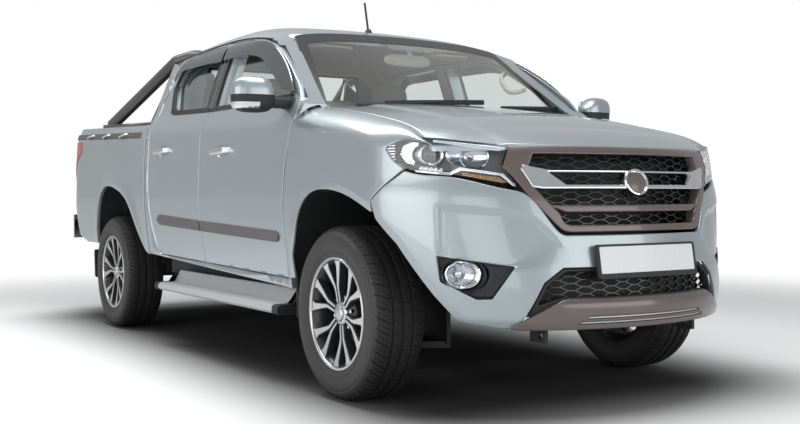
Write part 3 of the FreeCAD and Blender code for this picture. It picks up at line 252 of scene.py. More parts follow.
def ring_of(points, step=25.0, corner=0.0):
    """Closed outline, anticlockwise. A third entry True starts a curve to the next such point, and each
    sharp corner is replaced by a parabola that starts and ends at the corner distance from it."""
    runs, run = [], [points[0][:2]]
    for k in range(1, len(points) + 1):
        spot = points[k % len(points)]
        run.append(spot[:2])
        if not (len(spot) > 2 and spot[2]):
            runs.append(cubic_through(run, step))
            run = [spot[:2]]
    result = []
    for k, line in enumerate(runs):
        following = runs[(k + 1) % len(runs)]
        t = run_length(line)
        cut = min(corner, 0.45 * t[-1])
        ends = [np.array([np.interp(s, t, line[:, j]) for j in (0, 1)]) for s in (cut, t[-1] - cut)]
        keep = line[(t > cut + 1.0) & (t < t[-1] - cut - 1.0)]
        result.append(np.vstack([ends[:1], keep, ends[1:]]))
        if corner:
            t2 = run_length(following)
            cut2 = min(corner, 0.45 * t2[-1])
            other = np.array([np.interp(cut2, t2, following[:, j]) for j in (0, 1)])
            w = np.array([0.25, 0.5, 0.75])[:, None]
            result.append((1 - w) ** 2 * ends[1] + 2 * w * (1 - w) * line[-1] + w ** 2 * other)
        else:
            result[-1] = result[-1][:-1]
    ring = np.vstack(result)
    area = np.sum(ring[:, 0] * np.roll(ring[:, 1], -1) - ring[:, 1] * np.roll(ring[:, 0], -1))
    return ring if area > 0 else ring[::-1]


def moved_in(ring, distance):
    """The closed outline moved to the left of its run, each point along the bisector of its two edges."""
    before = ring - np.roll(ring, 1, axis=0)
    after = np.roll(ring, -1, axis=0) - ring
    before /= np.linalg.norm(before, axis=1)[:, None]
    after /= np.linalg.norm(after, axis=1)[:, None]
    normal = np.column_stack([-before[:, 1] - after[:, 1], before[:, 0] + after[:, 0]])
    return ring + distance * normal / np.maximum(0.5, 1 + np.sum(before * after, axis=1))[:, None]


def inside(ring, spots):
    """True for each spot whose ray along +u crosses the closed outline an odd number of times."""
    a, b = ring, np.roll(ring, -1, axis=0)
    v = spots[:, 1][:, None]
    crosses = (a[:, 1] > v) != (b[:, 1] > v)
    rise = np.where(b[:, 1] == a[:, 1], 1e-9, b[:, 1] - a[:, 1])
    at = a[:, 0] + (v - a[:, 1]) * (b[:, 0] - a[:, 0]) / rise
    return np.sum(crosses & (at > spots[:, 0][:, None]), axis=1) % 2 == 1


def net(points):
    """Points and quads of a two-parameter grid of points."""
    rows, columns = points.shape[:2]
    index = np.arange(rows * columns).reshape(rows, columns)
    quads = np.stack([index[:-1, :-1], index[1:, :-1], index[1:, 1:], index[:-1, 1:]], -1)
    return points.reshape(-1, 3), quads.reshape(-1, 4)


def closed_net(rows):
    """The same for a grid that closes on itself: its first column follows its last one."""
    return net(np.concatenate([rows, rows[:, :1]], axis=1))


def lattice(us, vs):
    """Each value of the first row together with each value of the second, as points."""
    return np.stack(np.meshgrid(us, vs), -1).reshape(-1, 2)


def panel(ring, place, front, back, radius=3.0, holes=(), spots=None):
    """Closed shell between two depths, lifted by place(u, v, depth). Its outline is filled with triangles
    through the spots and through two rows 6 and 14 mm inside its edges. A quarter circle of the radius
    rounds the front edge."""
    loops = [ring] + [hole[::-1] for hole in holes]
    toward = 1.0 if back > front else -1.0
    inner = [moved_in(loop, radius + min(2.0, radius)) for loop in loops]
    points = np.vstack(inner)
    edges, start = [], 0
    for loop in inner:
        k = np.arange(len(loop))
        edges.append(start + np.column_stack([k, np.roll(k, -1)]))
        start += len(loop)
    if spots is not None and len(spots):
        margins = (20.0, 4.0, 12.0)
        margin = np.repeat(margins, [len(spots), start, start])
        spots = np.vstack([spots] + [moved_in(loop, gap) for gap in (6.0, 14.0) for loop in inner])
        keep = np.ones(len(spots), bool)
        for loop, outer in zip(inner, [True] + [False] * len(holes)):
            for gap in margins:
                within = inside(moved_in(loop, gap)[::1 if outer else -1], spots)
                keep &= (within == outer) | (margin != gap)
        points = np.vstack([points, spots[keep]])
    edges = [tuple(map(int, edge)) for edge in np.vstack(edges)]
    flat = delaunay_2d_cdt([tuple(p) for p in points], edges, [], 0, 1e-5)
    spread = np.array([tuple(p) for p in flat[0]])
    triangles = np.array([f for f in flat[2] if len(f) == 3])
    middle = spread[triangles].mean(axis=1)
    keep = inside(inner[0], middle)
    for loop in inner[1:]:
        keep &= ~inside(loop[::-1], middle)
    triangles = triangles[keep]

    def lift(p, depth):
        return np.stack(place(p[..., 0], p[..., 1], np.full(p.shape[:-1], depth)), -1)

    parts = [(lift(spread, front), triangles), (lift(spread, back), triangles)]
    turns = np.linspace(0.0, math.pi / 2, 4)
    for loop, core in zip(loops, inner):
        rows = [lift(core, front)]
        rows += [lift(moved_in(loop, radius * (1 - math.sin(a))), front + toward * radius * (1 - math.cos(a)))
                 for a in turns]
        rows += [lift(loop, back), lift(core, back)]
        parts.append(closed_net(np.array(rows)))
    return parts


def mirrored(parts):
    """The same parts on the other side of the truck."""
    return [(points * np.array([1.0, -1.0, 1.0]), *rest) for points, *rest in parts]


# The left side takes parts as they are given, the right side takes their mirror images.
both_sides = (("l", lambda parts: parts), ("r", mirrored))


def shown(name, mesh, finishes, body, stands_for, sharp):
    """Object of a mesh, smooth but for the edges sharper than an angle in degrees, on its body."""
    mesh.polygons.foreach_set("use_smooth", np.ones(len(mesh.polygons), bool))
    mesh.set_sharp_from_angle(angle=math.radians(sharp))
    for finish in finishes if isinstance(finishes, (list, tuple)) else [finishes]:
        mesh.materials.append(finish)
    made = bpy.data.objects.new(name, mesh)
    scene.collection.objects.link(made)
    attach(made, body)
    if stands_for:
        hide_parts(*stands_for)
    return made


def piece(name, parts, finishes, body, slot, stands_for=(), sharp=38.0, weld=0.02, outward=True):
    """One object from parts of (points in millimetres, faces, finish number). Points nearer than the weld
    distance are merged, and the normals point outwards."""
    mesh = bpy.data.meshes.new(name)
    points = np.vstack([p[0] for p in parts]) / 1000.0
    loops, sizes, numbers, start = [], [], [], 0
    for part in parts:
        faces = np.asarray(part[1])
        loops.append((faces + start).ravel())
        sizes.append(np.full(len(faces), faces.shape[1]))
        numbers.append(np.full(len(faces), part[2] if len(part) > 2 else 0))
        start += len(part[0])
    loops, sizes, numbers = np.concatenate(loops), np.concatenate(sizes), np.concatenate(numbers)
    mesh.vertices.add(len(points))
    mesh.vertices.foreach_set("co", points.ravel())
    mesh.loops.add(len(loops))
    mesh.loops.foreach_set("vertex_index", loops.astype(np.int32))
    mesh.polygons.add(len(sizes))
    mesh.polygons.foreach_set("loop_start", (np.cumsum(sizes) - sizes).astype(np.int32))
    mesh.polygons.foreach_set("material_index", numbers.astype(np.int32))
    mesh.update(calc_edges=True)
    mesh.validate()
    work = bmesh.new()
    work.from_mesh(mesh)
    bmesh.ops.remove_doubles(work, verts=work.verts, dist=weld / 1000.0)
    bmesh.ops.dissolve_degenerate(work, edges=work.edges, dist=weld / 1000.0)
    if outward:
        bmesh.ops.recalc_face_normals(work, faces=work.faces)
    work.to_mesh(mesh)
    work.free()
    return shown(name, mesh, finishes, body, stands_for, sharp)


def pair(name, parts, *rest, **choices):
    """One object from the parts and from their mirror images."""
    return piece(name, parts + mirrored(parts), *rest, **choices)


def coated(name, colour, roughness, metallic=0.0, **sockets):
    """Material with one Principled shader, its plain values set on the shader itself."""
    material = bpy.data.materials.new(name)
    material.use_nodes = True
    shader = material.node_tree.nodes["Principled BSDF"]
    shader.inputs["Base Color"].default_value = linear(colour)
    shader.inputs["Roughness"].default_value = roughness
    shader.inputs["Metallic"].default_value = metallic
    for key, value in sockets.items():
        shader.inputs[key.replace("_", " ")].default_value = value
    return material, material.node_tree, shader


def grained(name, colour, roughness, metallic, size_mm, height_mm, shades, span, detail=2.0, **sockets):
    """Coated material with fine noise of a size in millimetres, which moves its tone between two shades,
    its roughness over a span and, for a height that isn't zero, its surface."""
    material, tree, shader = coated(name, colour, roughness, metallic, **sockets)
    where = add(tree, "ShaderNodeTexCoord")
    noise = add(tree, "ShaderNodeTexNoise", {"Scale": 1000.0 / size_mm / 2, "Detail": detail},
                [(where.outputs["Object"], "Vector")])
    if height_mm:
        bump = add(tree, "ShaderNodeBump", {"Strength": 1.0, "Distance": height_mm / 1000.0},
                   [(noise.outputs["Fac"], "Height")])
        tree.links.new(bump.outputs["Normal"], shader.inputs["Normal"])
    mix = add(tree, "ShaderNodeMix", {"data_type": "RGBA", 6: linear(shades[0]), 7: linear(shades[1])},
              [(noise.outputs["Fac"], 0)])
    tree.links.new(mix.outputs[2], shader.inputs["Base Color"])
    rough = add(tree, "ShaderNodeMapRange",
                {"From Min": 0.3, "From Max": 0.7, "To Min": span[0], "To Max": span[1]},
                [(noise.outputs["Fac"], "Value")])
    tree.links.new(rough.outputs["Result"], shader.inputs["Roughness"])
    return material


# Automotive base coat and clear lacquer: aluminium flakes of about 0.03 mm under a smooth gloss
# film. The flakes are drawn as coarse as 1.2 mm to show, as a faint sparkle in tone.
body_paint = grained("silver_blue_base_coat", "#99A3A8", 0.34, 0.62,
                     1.2, 0.0, ("#8E989D", "#ACB5B9"), (0.30, 0.40), Coat_Weight=1.0, Coat_Roughness=0.03)

# Height that the cubic roll between side and hood gains from its foot, at t = 0, to the seam, at t = 1.
roll_height = 120.0
roll_t = np.linspace(0.0, 1.0, 41)
roll_rise = 210 * roll_t * (1 - roll_t) ** 2 + 351 * roll_t ** 2 * (1 - roll_t) + 120 * roll_t ** 3


def fender_v(x, z):
    """Measure up the fender: height below the roll, then how far round the roll, in steps of its height."""
    above = z - (hood_line_z(x) - roll_height)
    return np.where(above < 0, above, roll_height * np.interp(above, roll_rise, roll_t))


def arch_edge(points, step, out=0.0):
    """Points along an arch lip given from foot to foot, moved out of the arch by a distance."""
    closed = ring_of(points, step)
    a, b = np.array(points[0][:2], float), np.array(points[-1][:2], float)
    along = (b - a) / np.linalg.norm(b - a)
    off = np.abs((closed[:, 0] - a[0]) * along[1] - (closed[:, 1] - a[1]) * along[0])
    return moved_in(closed, -out)[off > 1.0]


def arch_rows(points):
    """Four rows of points along the lip, two of them beside its crease."""
    return np.vstack([arch_edge(points, 14.0, out) for out in (17.0, 31.0, 34.0, 37.0)])


def arch_gap(x, z, edge):
    """Distance from each point to the nearest point of an arch edge, seen from the side."""
    gap = np.full(np.shape(x), 1e6)
    for edge_x, edge_z in edge:
        gap = np.minimum(gap, np.hypot(x - edge_x, z - edge_z))
    return gap


def arch_lip(x, z, edge):
    """Depth of the flat lip: 0.2 mm inwards for each millimetre nearer than 34 mm to the edge."""
    return 0.2 * np.maximum(0.0, 34.0 - arch_gap(x, z, edge))


front_lip = [(1283, 490), (1287, 600), (1333, 690, True), (1365, 780, True), (1441, 856, True),
             (1596, 891, True), (1832, 861, True), (2011, 796), (2034, 772), (2137, 675), (2265, 482),
             (2335, 380)]
front_edge = arch_edge(front_lip, 3.0)


def dive(x, y):
    """Drop towards the nose: 0.52 of a ramp that starts 120 mm behind the nose's edge."""
    return 0.52 * ramp(x - nose_plan_x(y, 1060.0) + 120.0, 90.0)


def fender_place(x, v, depth):
    """The body side below, and above it a cubic roll that ends level at the hood seam."""
    start_z = hood_line_z(x) - roll_height
    start_y = nose_side_y(x, start_z)
    slope = (nose_side_y(x, start_z) - nose_side_y(x, start_z - 20.0)) / 20.0
    t = np.clip(v / roll_height, 0.0, 1.0)
    edge_y = np.minimum(hood_edge_y, start_y - 40.0)
    spots = ((start_y, start_z), (start_y + slope * 70.0, start_z + 70.0), (edge_y + 55.0, start_z + 117.0),
             (edge_y, start_z + roll_height))
    weights = ((1 - t) ** 3, 3 * t * (1 - t) ** 2, 3 * t * t * (1 - t), t ** 3)
    z_low = start_z + np.minimum(v, 0.0)
    depth = depth + arch_lip(x, z_low, front_edge) * (v < 0)
    y = np.where(v < 0, nose_side_y(x, z_low), sum(w * s[0] for w, s in zip(weights, spots)))
    z = sum(w * s[1] for w, s in zip(weights, spots)) - dive(x, hood_edge_y - 8.0) * t ** 1.5
    return x, y - depth, np.where(v < 0, z_low, z) - depth * t


fender_points = [(1222, 490)] + front_lip[:8] + [
    (2014, 845), (2075, 900), (2160, 965), (2104, 1005), (2072, 1050), (2150, 1094), (2228, 1096),
    (2236, 1160), (1300, 1272), (1284, 1262), (1294, 1212), (1288, 1165), (1258, 1050), (1230, 894),
    (1222, 760)]
ring = ring_of(fender_points, 22.0, 9.0)
seam_z = hood_line_z(ring[:, 0])
ring[:, 1] = fender_v(ring[:, 0], np.where(ring[:, 1] > seam_z - 1.0, seam_z, ring[:, 1]))
spread_x = np.concatenate([np.arange(1230, 1950, 26.0), np.arange(1950, 2240, 16.0)])
low_v = -np.concatenate([np.arange(14, 90, 14.0), np.arange(90, 720, 24.0)])[::-1]
spots = lattice(spread_x, np.concatenate([low_v, np.arange(0, 116, 9.0)]))
height = hood_line_z(spots[:, 0]) - roll_height + spots[:, 1]
spots = spots[arch_gap(spots[:, 0], height, front_edge) > 44.0]
rows = arch_rows(front_lip)
spots = np.vstack([spots, np.column_stack([rows[:, 0], fender_v(rows[:, 0], rows[:, 1])])])
fender = panel(ring, fender_place, 0.0, 10.0, 3.0, (), spots)
pair("front_fender_panels", fender, body_paint, "root", "body_paint", ["front_fenders"])


# Side doors: a pressed outer skin hemmed over an inner frame, painted with the body. Each opens on two
# hinges at its front edge and carries its glass, black seals, pull handle and rub strip.
def side_place(x, z, depth):
    """A point of the body side, set in by a depth."""
    return x, side_y(x, z) - depth, z


def side_spots(low_x, high_x, low_z, high_z):
    """Net over the side whose rows follow the raked shoulder and belt, closer together beside them."""
    beside = np.array([-27.0, -18, -11, -5, 0, 5, 11, 18, 27])
    heights = np.concatenate([np.arange(low_z - 60, high_z + 20, 24.0), shoulder_z + beside, belt_z + beside])
    heights = np.unique(np.round(heights))
    heights = heights[np.concatenate([[True], np.diff(heights) > 3.5])]
    spots = lattice(np.arange(low_x, high_x, 25.0), heights)
    spots[:, 1] += rake * (rake_from_x - spots[:, 0])
    return spots


door_split_x, door_front_x, door_low_z = 195.0, 1215.0, 484.0
split_low_z = door_low_z + 0.023 * (door_front_x - door_split_x)


def front_door_outline(grow):
    """Front door from the side, grown by a margin."""
    return [(door_split_x - grow, split_low_z - grow), (door_front_x + grow, door_low_z - grow),
            (door_front_x + grow, 760.0), (1226 + grow, 894, True), (1254 + grow, 1050, True),
            (1284 + grow, 1165, True), (1290 + grow, 1212, True), (1280 + grow, 1290 + grow, True),
            (1208 + 0.6 * grow, 1388 + grow), (960 + 0.5 * grow, 1548 + grow, True),
            (760 + 0.4 * grow, 1638 + grow, True), (560, 1674 + grow, True),
            (door_split_x - grow, 1690 + grow)]


def rear_door_outline(grow):
    """Rear door from the side, grown by a margin."""
    return [(-500 - grow, 523.4 - grow), (door_split_x + grow, split_low_z - grow),
            (door_split_x + grow, 1690 + grow), (-330, 1684 + grow), (-440 - 0.5 * grow, 1655 + grow, True),
            (-530 - grow, 1560 + 0.5 * grow, True), (-600 - grow, 1430, True), (-650 - grow, 1260),
            (-650 - grow, 900), (-625 - grow, 760, True), (-560 - grow, 600, True)]


def front_window_outline(grow):
    """Glass opening of the front door, grown by a margin."""
    return [(262 - grow, 1336 - grow), (1165 + 2.0 * grow, 1334 - grow), (1120 + grow, 1378 + grow),
            (900 + 0.5 * grow, 1510 + grow, True), (740 + 0.4 * grow, 1590 + grow, True),
            (560, 1624 + grow, True), (262 - grow, 1638 + grow)]


def rear_window_outline(grow):
    """Glass opening of the rear door, grown by a margin."""
    return [(-395 - grow, 1372 - grow), (-330, 1358 - grow), (140 + grow, 1342 - grow),
            (140 + grow, 1640 + grow), (-350, 1638 + grow), (-440 - grow, 1600 + grow, True),
            (-480 - grow, 1520)]


# Soft EPDM rubber of the seals, black and dull.
seal_rubber = grained("extruded_seal_rubber", "#17181A", 0.62, 0.0,
                      1.5, 0.05, ("#141517", "#1C1D1F"), (0.55, 0.7))

# Gloss black film on the pillar between the doors.
gloss_black = grained("gloss_black_film", "#0B0C0E", 0.16, 0.0,
                      14.0, 0.01, ("#0A0B0D", "#101114"), (0.12, 0.2), Coat_Weight=0.6, Coat_Roughness=0.04)

# Moulded ABS strip in dark warm grey with a fine leather-like grain.
strip_plastic = grained("grained_grey_moulding", "#585454", 0.48, 0.0,
                        1.4, 0.12, ("#524E4E", "#5E5A5A"), (0.42, 0.55))

# Bright chrome on plastic: mirror smooth, hardly any colour of its own.
chrome = grained("bright_chrome_plate", "#DADCDE", 0.06, 1.0,
                 30.0, 0.008, ("#D6D8DA", "#E2E4E6"), (0.04, 0.1))


# Green-grey toughened glass. Light reaches the cabin through it, so it lets shadow rays pass.
def clear_pane(name, tint):
    """Thin pane: a transmitting shader, with a see-through one for the rays that make shadows."""
    material, tree, shader = coated(name, tint, 0.0, 0.0, Transmission_Weight=1.0, IOR=1.45)
    rays = add(tree, "ShaderNodeLightPath")
    through = add(tree, "ShaderNodeBsdfTransparent", {"Color": linear(tint)})
    passed = add(tree, "ShaderNodeMath", {"operation": "MAXIMUM"},
                 [(rays.outputs["Is Shadow Ray"], 0), (rays.outputs["Is Diffuse Ray"], 1)])
    either = add(tree, "ShaderNodeMixShader", (),
                 [(passed.outputs[0], 0), (shader.outputs[0], 1), (through.outputs[0], 2)])
    tree.links.new(either.outputs[0], tree.nodes["Material Output"].inputs["Surface"])
    return material


side_glass = clear_pane("green_grey_toughened_glass", "#DDE3E2")

# Injection-moulded polypropylene of the cabin and of the unpainted parts outside, with a leather grain.
inner_black = grained("textured_black_polypropylene", "#1B1C1E", 0.6, 0.0,
                      1.6, 0.15, ("#17181A", "#222325"), (0.52, 0.68))
trim_grey = grained("moulded_grey_interior_trim", "#4A4845", 0.6, 0.0,
                    1.6, 0.15, ("#454340", "#504E4B"), (0.52, 0.68))


def even_angles(count):
    """Angles that divide a full turn evenly, from zero on."""
    return np.linspace(0.0, 2 * math.pi, count + 1)[:-1]


def loft(centres, sections):
    """Closed tube: each closed section, given about zero, is set on its centre, and both ends are capped."""
    rows = centres[:, None, :] + sections
    rows = np.concatenate([rows, rows[:, :1]], axis=1)
    middle = rows[:, :-1].mean(axis=1)
    first = np.repeat(middle[:1, None], rows.shape[1], axis=1)
    last = np.repeat(middle[-1:, None], rows.shape[1], axis=1)
    return net(np.concatenate([first, rows, last], axis=0))


def door_handle(centre_x, centre_z):
    """Pull handle: an oval bar that bows 30 mm out of its cup and thins where it turns in at its ends."""
    s = np.linspace(-1.0, 1.0, 33)[:, None]
    a = even_angles(20)
    x = centre_x + 112.0 * s
    z = centre_z + 3.0 * s
    out = 34.0 * (1 - np.abs(s) ** 7) - 4.0
    centres = np.concatenate([x, side_y(x, z) + out, z], axis=1)
    tall = (17.0 - 5.5 * s ** 2) * np.cos(a)
    wide = 8.0 * np.sin(a) + 0 * s
    section = np.stack([0 * tall, wide, tall], -1)
    return [loft(centres, section)]


def cup_ring(centre_x, centre_z):
    """Oval edge of the dished cup behind a handle."""
    a = even_angles(40)
    return np.column_stack([centre_x + 66.0 * np.cos(a), centre_z + 32.0 * np.sin(a)])


def cup(centre_x, centre_z):
    """Dished cup: depth grows with one less the fourth power of the distance from the middle."""
    edge = cup_ring(centre_x, centre_z)
    r = np.array([1.04, 1.0, 0.94, 0.85, 0.7, 0.5, 0.25, 0.0])[:, None]
    x = centre_x + r * (edge[:, 0] - centre_x)
    z = centre_z + r * (edge[:, 1] - centre_z)
    depth = 3.0 + 14.0 * (1 - np.minimum(1, r) ** 4) + 0 * x
    rows = np.stack(side_place(x, z, depth), -1)
    return [closed_net(rows)]


def strip(points, low, high, proud, radius):
    """Flat moulding on the side, standing proud of the skin, with rounded edges."""
    return panel(ring_of(points, 25.0, high), side_place, -proud, low, radius, (),
                 side_spots(-2500, 1300, 600, 1500))


for letter, outline, window, grip, (low_x, high_x) in (
        ("f", front_door_outline, front_window_outline, (500.0, 1093.0), (200, 1300)),
        ("r", rear_door_outline, rear_window_outline, (-396.0, 1127.0), (-655, 190))):
    hole = ring_of(window(0.0), 22.0, 14.0)
    spots = side_spots(low_x, high_x, 500, 1690)
    skin_ring = ring_of(outline(-half_gap), 22.0, 9.0)
    skin = panel(skin_ring, side_place, 0.0, 20.0, 3.0, (hole, cup_ring(*grip)), spots)
    inner_ring = ring_of(outline(-half_gap - 32.0), 30.0, 20.0)
    shell = panel(inner_ring, side_place, 100.0, 19.0, 2.0, (hole,), spots[::3])
    pane = panel(moved_in(hole, 0.5), side_place, 26.0, 31.0, 0.8, (), spots)
    seal = panel(moved_in(hole, -9.0), side_place, -1.8, 12.0, 1.2, (moved_in(hole, 5.0),))
    for side, turned in both_sides:
        body = "door_" + letter + side
        piece(body + "_skin", turned(skin + shell), body_paint, body, "body_paint", [body])
        piece(body + "_handle", turned(door_handle(*grip)), chrome, body, "bright_chrome")
        piece(body + "_cup", turned(cup(*grip)), body_paint, body, "body_paint", outward=False)
        piece(body + "_pane", turned(pane), side_glass, body, "tinted_glass", ["door_glass_" + letter + side])
        piece(body + "_seal", turned(seal), seal_rubber, body, "black_plastic")

# Each door's strips: the rub strip, the film on the pillar and the rubber along the belt.
door_strips = {
    "f": (strip([(206, 678), (1120, 650), (1150, 656, True), (1162, 672, True), (1150, 694, True),
                 (1112, 702), (206, 733)], 3.0, 4.0, 9.0, 4.0),
          strip([(200, 1345), (253, 1344), (253, 1642), (200, 1682)], 3.0, 4.0, 1.2, 0.8),
          strip([(200, 1318), (1180, 1313), (1192, 1334), (1162, 1339), (200, 1342)], 3.0, 3.0, 4.0, 1.6)),
    "r": (strip([(-502, 729), (-452, 700), (184, 679), (184, 733), (-452, 760)], 3.0, 7.0, 9.0, 4.0),
          strip([(149, 1346), (190, 1345), (190, 1682), (149, 1646)], 3.0, 4.0, 1.2, 0.8),
          strip([(190, 1319), (190, 1343), (-328, 1362), (-392, 1378), (-476, 1520), (-500, 1512),
                 (-420, 1352), (-350, 1338)], 3.0, 3.0, 4.0, 1.6))}
for side, turned in both_sides:
    for letter, strips in door_strips.items():
        body = "door_" + letter + side
        for name, parts, finish in zip(("_rub_strip", "_pillar_film", "_belt_strip"), strips,
                                       (strip_plastic, gloss_black, seal_rubber)):
            piece(body + name, turned(parts), finish, body, "black_plastic")


# Door mirrors: a painted upper shell over a black lower half, on an arm screwed to the door's front corner,
# with a chromed strip where the repeater lamp sits in the shell and silvered glass facing back.
def pebble(centre, half, power, rows=28, columns=44):
    """Closed rounded box: the powers of its distances from the centre, over its half sizes, add up to one."""
    v = np.linspace(-math.pi / 2, math.pi / 2, rows)[:, None]
    a = np.linspace(0.0, 2 * math.pi, columns)[None, :]
    direction = np.stack([np.cos(v) * np.cos(a), np.cos(v) * np.sin(a), np.sin(v) + 0 * a], -1)
    reach = np.sum(np.abs(direction / np.array(half)) ** power, axis=-1) ** (-1 / power)
    return net(np.array(centre) + direction * reach[..., None])


mirror_glass = grained("silvered_mirror_glass", "#C9CED2", 0.02, 1.0,
                       60.0, 0.0, ("#C5CACE", "#CED3D7"), (0.01, 0.03))
clear_lens = clear_pane("clear_polycarbonate_lens", "#EEF1F3")


def mirror_back_x(y):
    """Station of the shell's open rear side, which its glass closes."""
    return 1134.0 + 0.05 * (y - 1028) - 0.16 * np.maximum(0.0, y - 1000)


mirror_shell = []
for low_z, high_z, grow, least_y in ((1321.0, 1500.0, 0.0, 900.0), (1200.0, 1321.0, -2.0, 900.0),
                                     (1258.0, 1286.0, 1.5, 1020.0)):
    points, quads = pebble((1182, 1028, 1322), (60 + grow, 97 + grow, 82 + grow), 3.2, 36, 60)
    x, y, z = points.T.copy()
    z -= 34.0 * np.clip((1000.0 - y) / 70.0, 0.0, 1.0) ** 2 * np.clip((z - 1321.0) / 60.0, 0.0, 1.0)
    y = np.maximum(y, least_y)
    x = np.maximum(x, 1134.0 + 0.05 * (y - 1028)) - 0.16 * np.maximum(0.0, y - 1000)
    mirror_shell.append((np.column_stack([x, y, np.clip(z, low_z, high_z)]), quads, len(mirror_shell)))
mirror_arm = [pebble((1178, 900, 1290), (34, 76, 24), 4.0)]
arm_foot = ring_of([(1128, 1268), (1226, 1268), (1212, 1318), (1140, 1330)], 20.0, 8.0)
mirror_arm += panel(arm_foot, side_place, -9.0, 2.0, 4.0)
mirror_face = panel(ring_of([(945, 1282), (1108, 1280), (1112, 1380), (950, 1388)], 20.0, 22.0),
                    lambda y, z, d: (mirror_back_x(y) - 1.5 + d, y, z), 0.0, 3.0, 1.0)
for side, turned in both_sides:
    name, body = "mirror_" + side, "door_f" + side
    piece(name + "_shell", turned(mirror_shell), [body_paint, inner_black, chrome], body, "body_paint",
          [name])
    piece(name + "_arm", turned(mirror_arm), inner_black, body, "black_plastic")
    piece(name + "_glass", turned(mirror_face), mirror_glass, body, "bright_chrome")


# Hood: one large pressing on rear hinges, with a raised middle. Painted with the body.
def hood_place(x, y, depth):
    """The seam line, raised by a parabolic crown and a smooth step inside 560 mm, diving at the nose."""
    across = np.minimum(1.0, np.abs(y) / hood_edge_y)
    crown = 34.0 * (1 - across ** 2) + 8.0 * smooth((560.0 - np.abs(y)) / 60.0)
    z = hood_line_z(np.minimum(x, 2235.0)) + crown * smooth((2620.0 - x) / 500.0) - dive(x, y)
    return x, y, z - depth


hood_rear_x = 1352.0
half_hood = [(hood_rear_x, hood_edge_y - panel_gap), (2235, hood_edge_y - panel_gap)]
front_y = np.linspace(700.0, 0.0, 6)
half_hood += [(float(nose_plan_x(y, 1060.0)) - 8.0, y, True) for y in front_y]
points = half_hood + [(x, -y, *r) for x, y, *r in reversed(half_hood[:-1])]
points += [(hood_rear_x + 50, -400.0, True), (hood_rear_x + 60, 0.0, True), (hood_rear_x + 50, 400.0, True)]
y_lines = np.concatenate([np.arange(-740, -620, 24.0), np.arange(-620, -490, 9.0), np.arange(-490, 491, 28.0),
                          np.arange(499, 625, 9.0), np.arange(630, 745, 24.0)])
spots = lattice(np.arange(1360, 2660, 22.0), y_lines)
hood = panel(ring_of(points, 20.0, 7.0), hood_place, 0.0, 22.0, 4.0, (), spots)
piece("hood_panel", hood, body_paint, "hood", "body_paint", ["hood"])


# Front bumper: one injection-moulded polypropylene skin sprayed with the body colour, clipped to the
# fenders and screwed along the grille. A soft-edged recess around each fog lamp catches the light.
per_radian = 900.0


def nose_place(q, z, depth):
    """The elliptic nose, at a measure q of 900 mm to the radian of its angle, and at a height."""
    width = side_y(nose_start_x, z) - depth
    length = nose_x(z) - nose_start_x - depth
    return nose_start_x + length * np.cos(q / per_radian), width * np.sin(q / per_radian), z


def by_width(points):
    """Outline points given as width and height, moved to the measure round the nose."""
    return [(per_radian * math.asin(y / float(side_y(nose_start_x, z))), z, *rest) for y, z, *rest in points]


def by_station(points):
    """Outline points given as station and height, moved to the measure round the nose."""
    return [(per_radian * math.acos((x - nose_start_x) / float(nose_x(z) - nose_start_x)), z, *rest)
            for x, z, *rest in points]


def both_halves(points):
    """Outline of the left half, from its lower to its upper middle, closed with its mirror image."""
    return points + [(-q, z, *rest) for q, z, *rest in reversed(points)]


def nose_ring(points, corner=4.0):
    """Closed outline on the nose from its left half, given as width and height."""
    return ring_of(both_halves(by_width(points)), 24.0, corner)


def bumper_place(q, z, depth):
    """The nose with a 13 mm recess above each fog lamp, and a lower edge that turns in under a crease."""
    y = np.abs(side_y(nose_start_x, z) * np.sin(q / per_radian))
    crease = 800.0 + 0.109 * (y - 479.0) - 1.0 * ramp(479.0 - y, 30.0)
    ledge = 592.0 + 0.177 * (y - 546.0)
    dent = smooth((773.0 - y) / 20.0) * smooth((crease - z) / 24.0) * smooth((y - 320.0) / 180.0)
    dent = 13.0 * dent * smooth((z - ledge + 10.0) / (12.0 + ramp(552.0 - y, 12.0)))
    lip = arch_lip(nose_place(q, z, depth)[0], z, front_edge)
    return nose_place(q, z, depth + dent + lip + 0.35 * ramp(392.0 - z, 5.0))


half_bumper = by_width([(378, 586), (452, 531), (500, 431), (538, 357), (600, 359)])
half_bumper += by_station([(2335, 380), (2265, 482), (2137, 675), (2034, 772), (2018, 842), (2079, 897),
                           (2162, 957)])
half_bumper += by_width([(800, 943, True), (714, 931, True), (545, 884, True), (490, 868, True),
                         (392, 737, True), (366, 712, True), (330, 708)])
fog_outline = by_width([(546, 592), (619, 470), (664, 468), (760, 534), (772, 632)])
fog_hole = ring_of(fog_outline, 20.0, 7.0)
spots = lattice(np.arange(-1330, 1331, 13.0), np.arange(362, 960, 12.0))
spots = spots[arch_gap(nose_place(spots[:, 0], spots[:, 1], 0.0)[0], spots[:, 1], front_edge) > 44.0]
x, z = arch_rows(front_lip).T
q = per_radian * np.arccos(np.clip((x - nose_start_x) / (nose_x(z) - nose_start_x), -1.0, 1.0))
q, z = q[x > 2005.0], z[x > 2005.0]
spots = np.vstack([spots, np.column_stack([q, z]), np.column_stack([-q, z])])
bumper_ring = ring_of(both_halves(half_bumper), 18.0, 6.0)
mirror_hole = (fog_hole * np.array([-1.0, 1.0]))[::-1]
skin = panel(bumper_ring, bumper_place, 0.0, 14.0, 3.0, (fog_hole, mirror_hole), spots)
piece("front_bumper_skin", skin, body_paint, "root", "body_paint", ["front_bumper"])


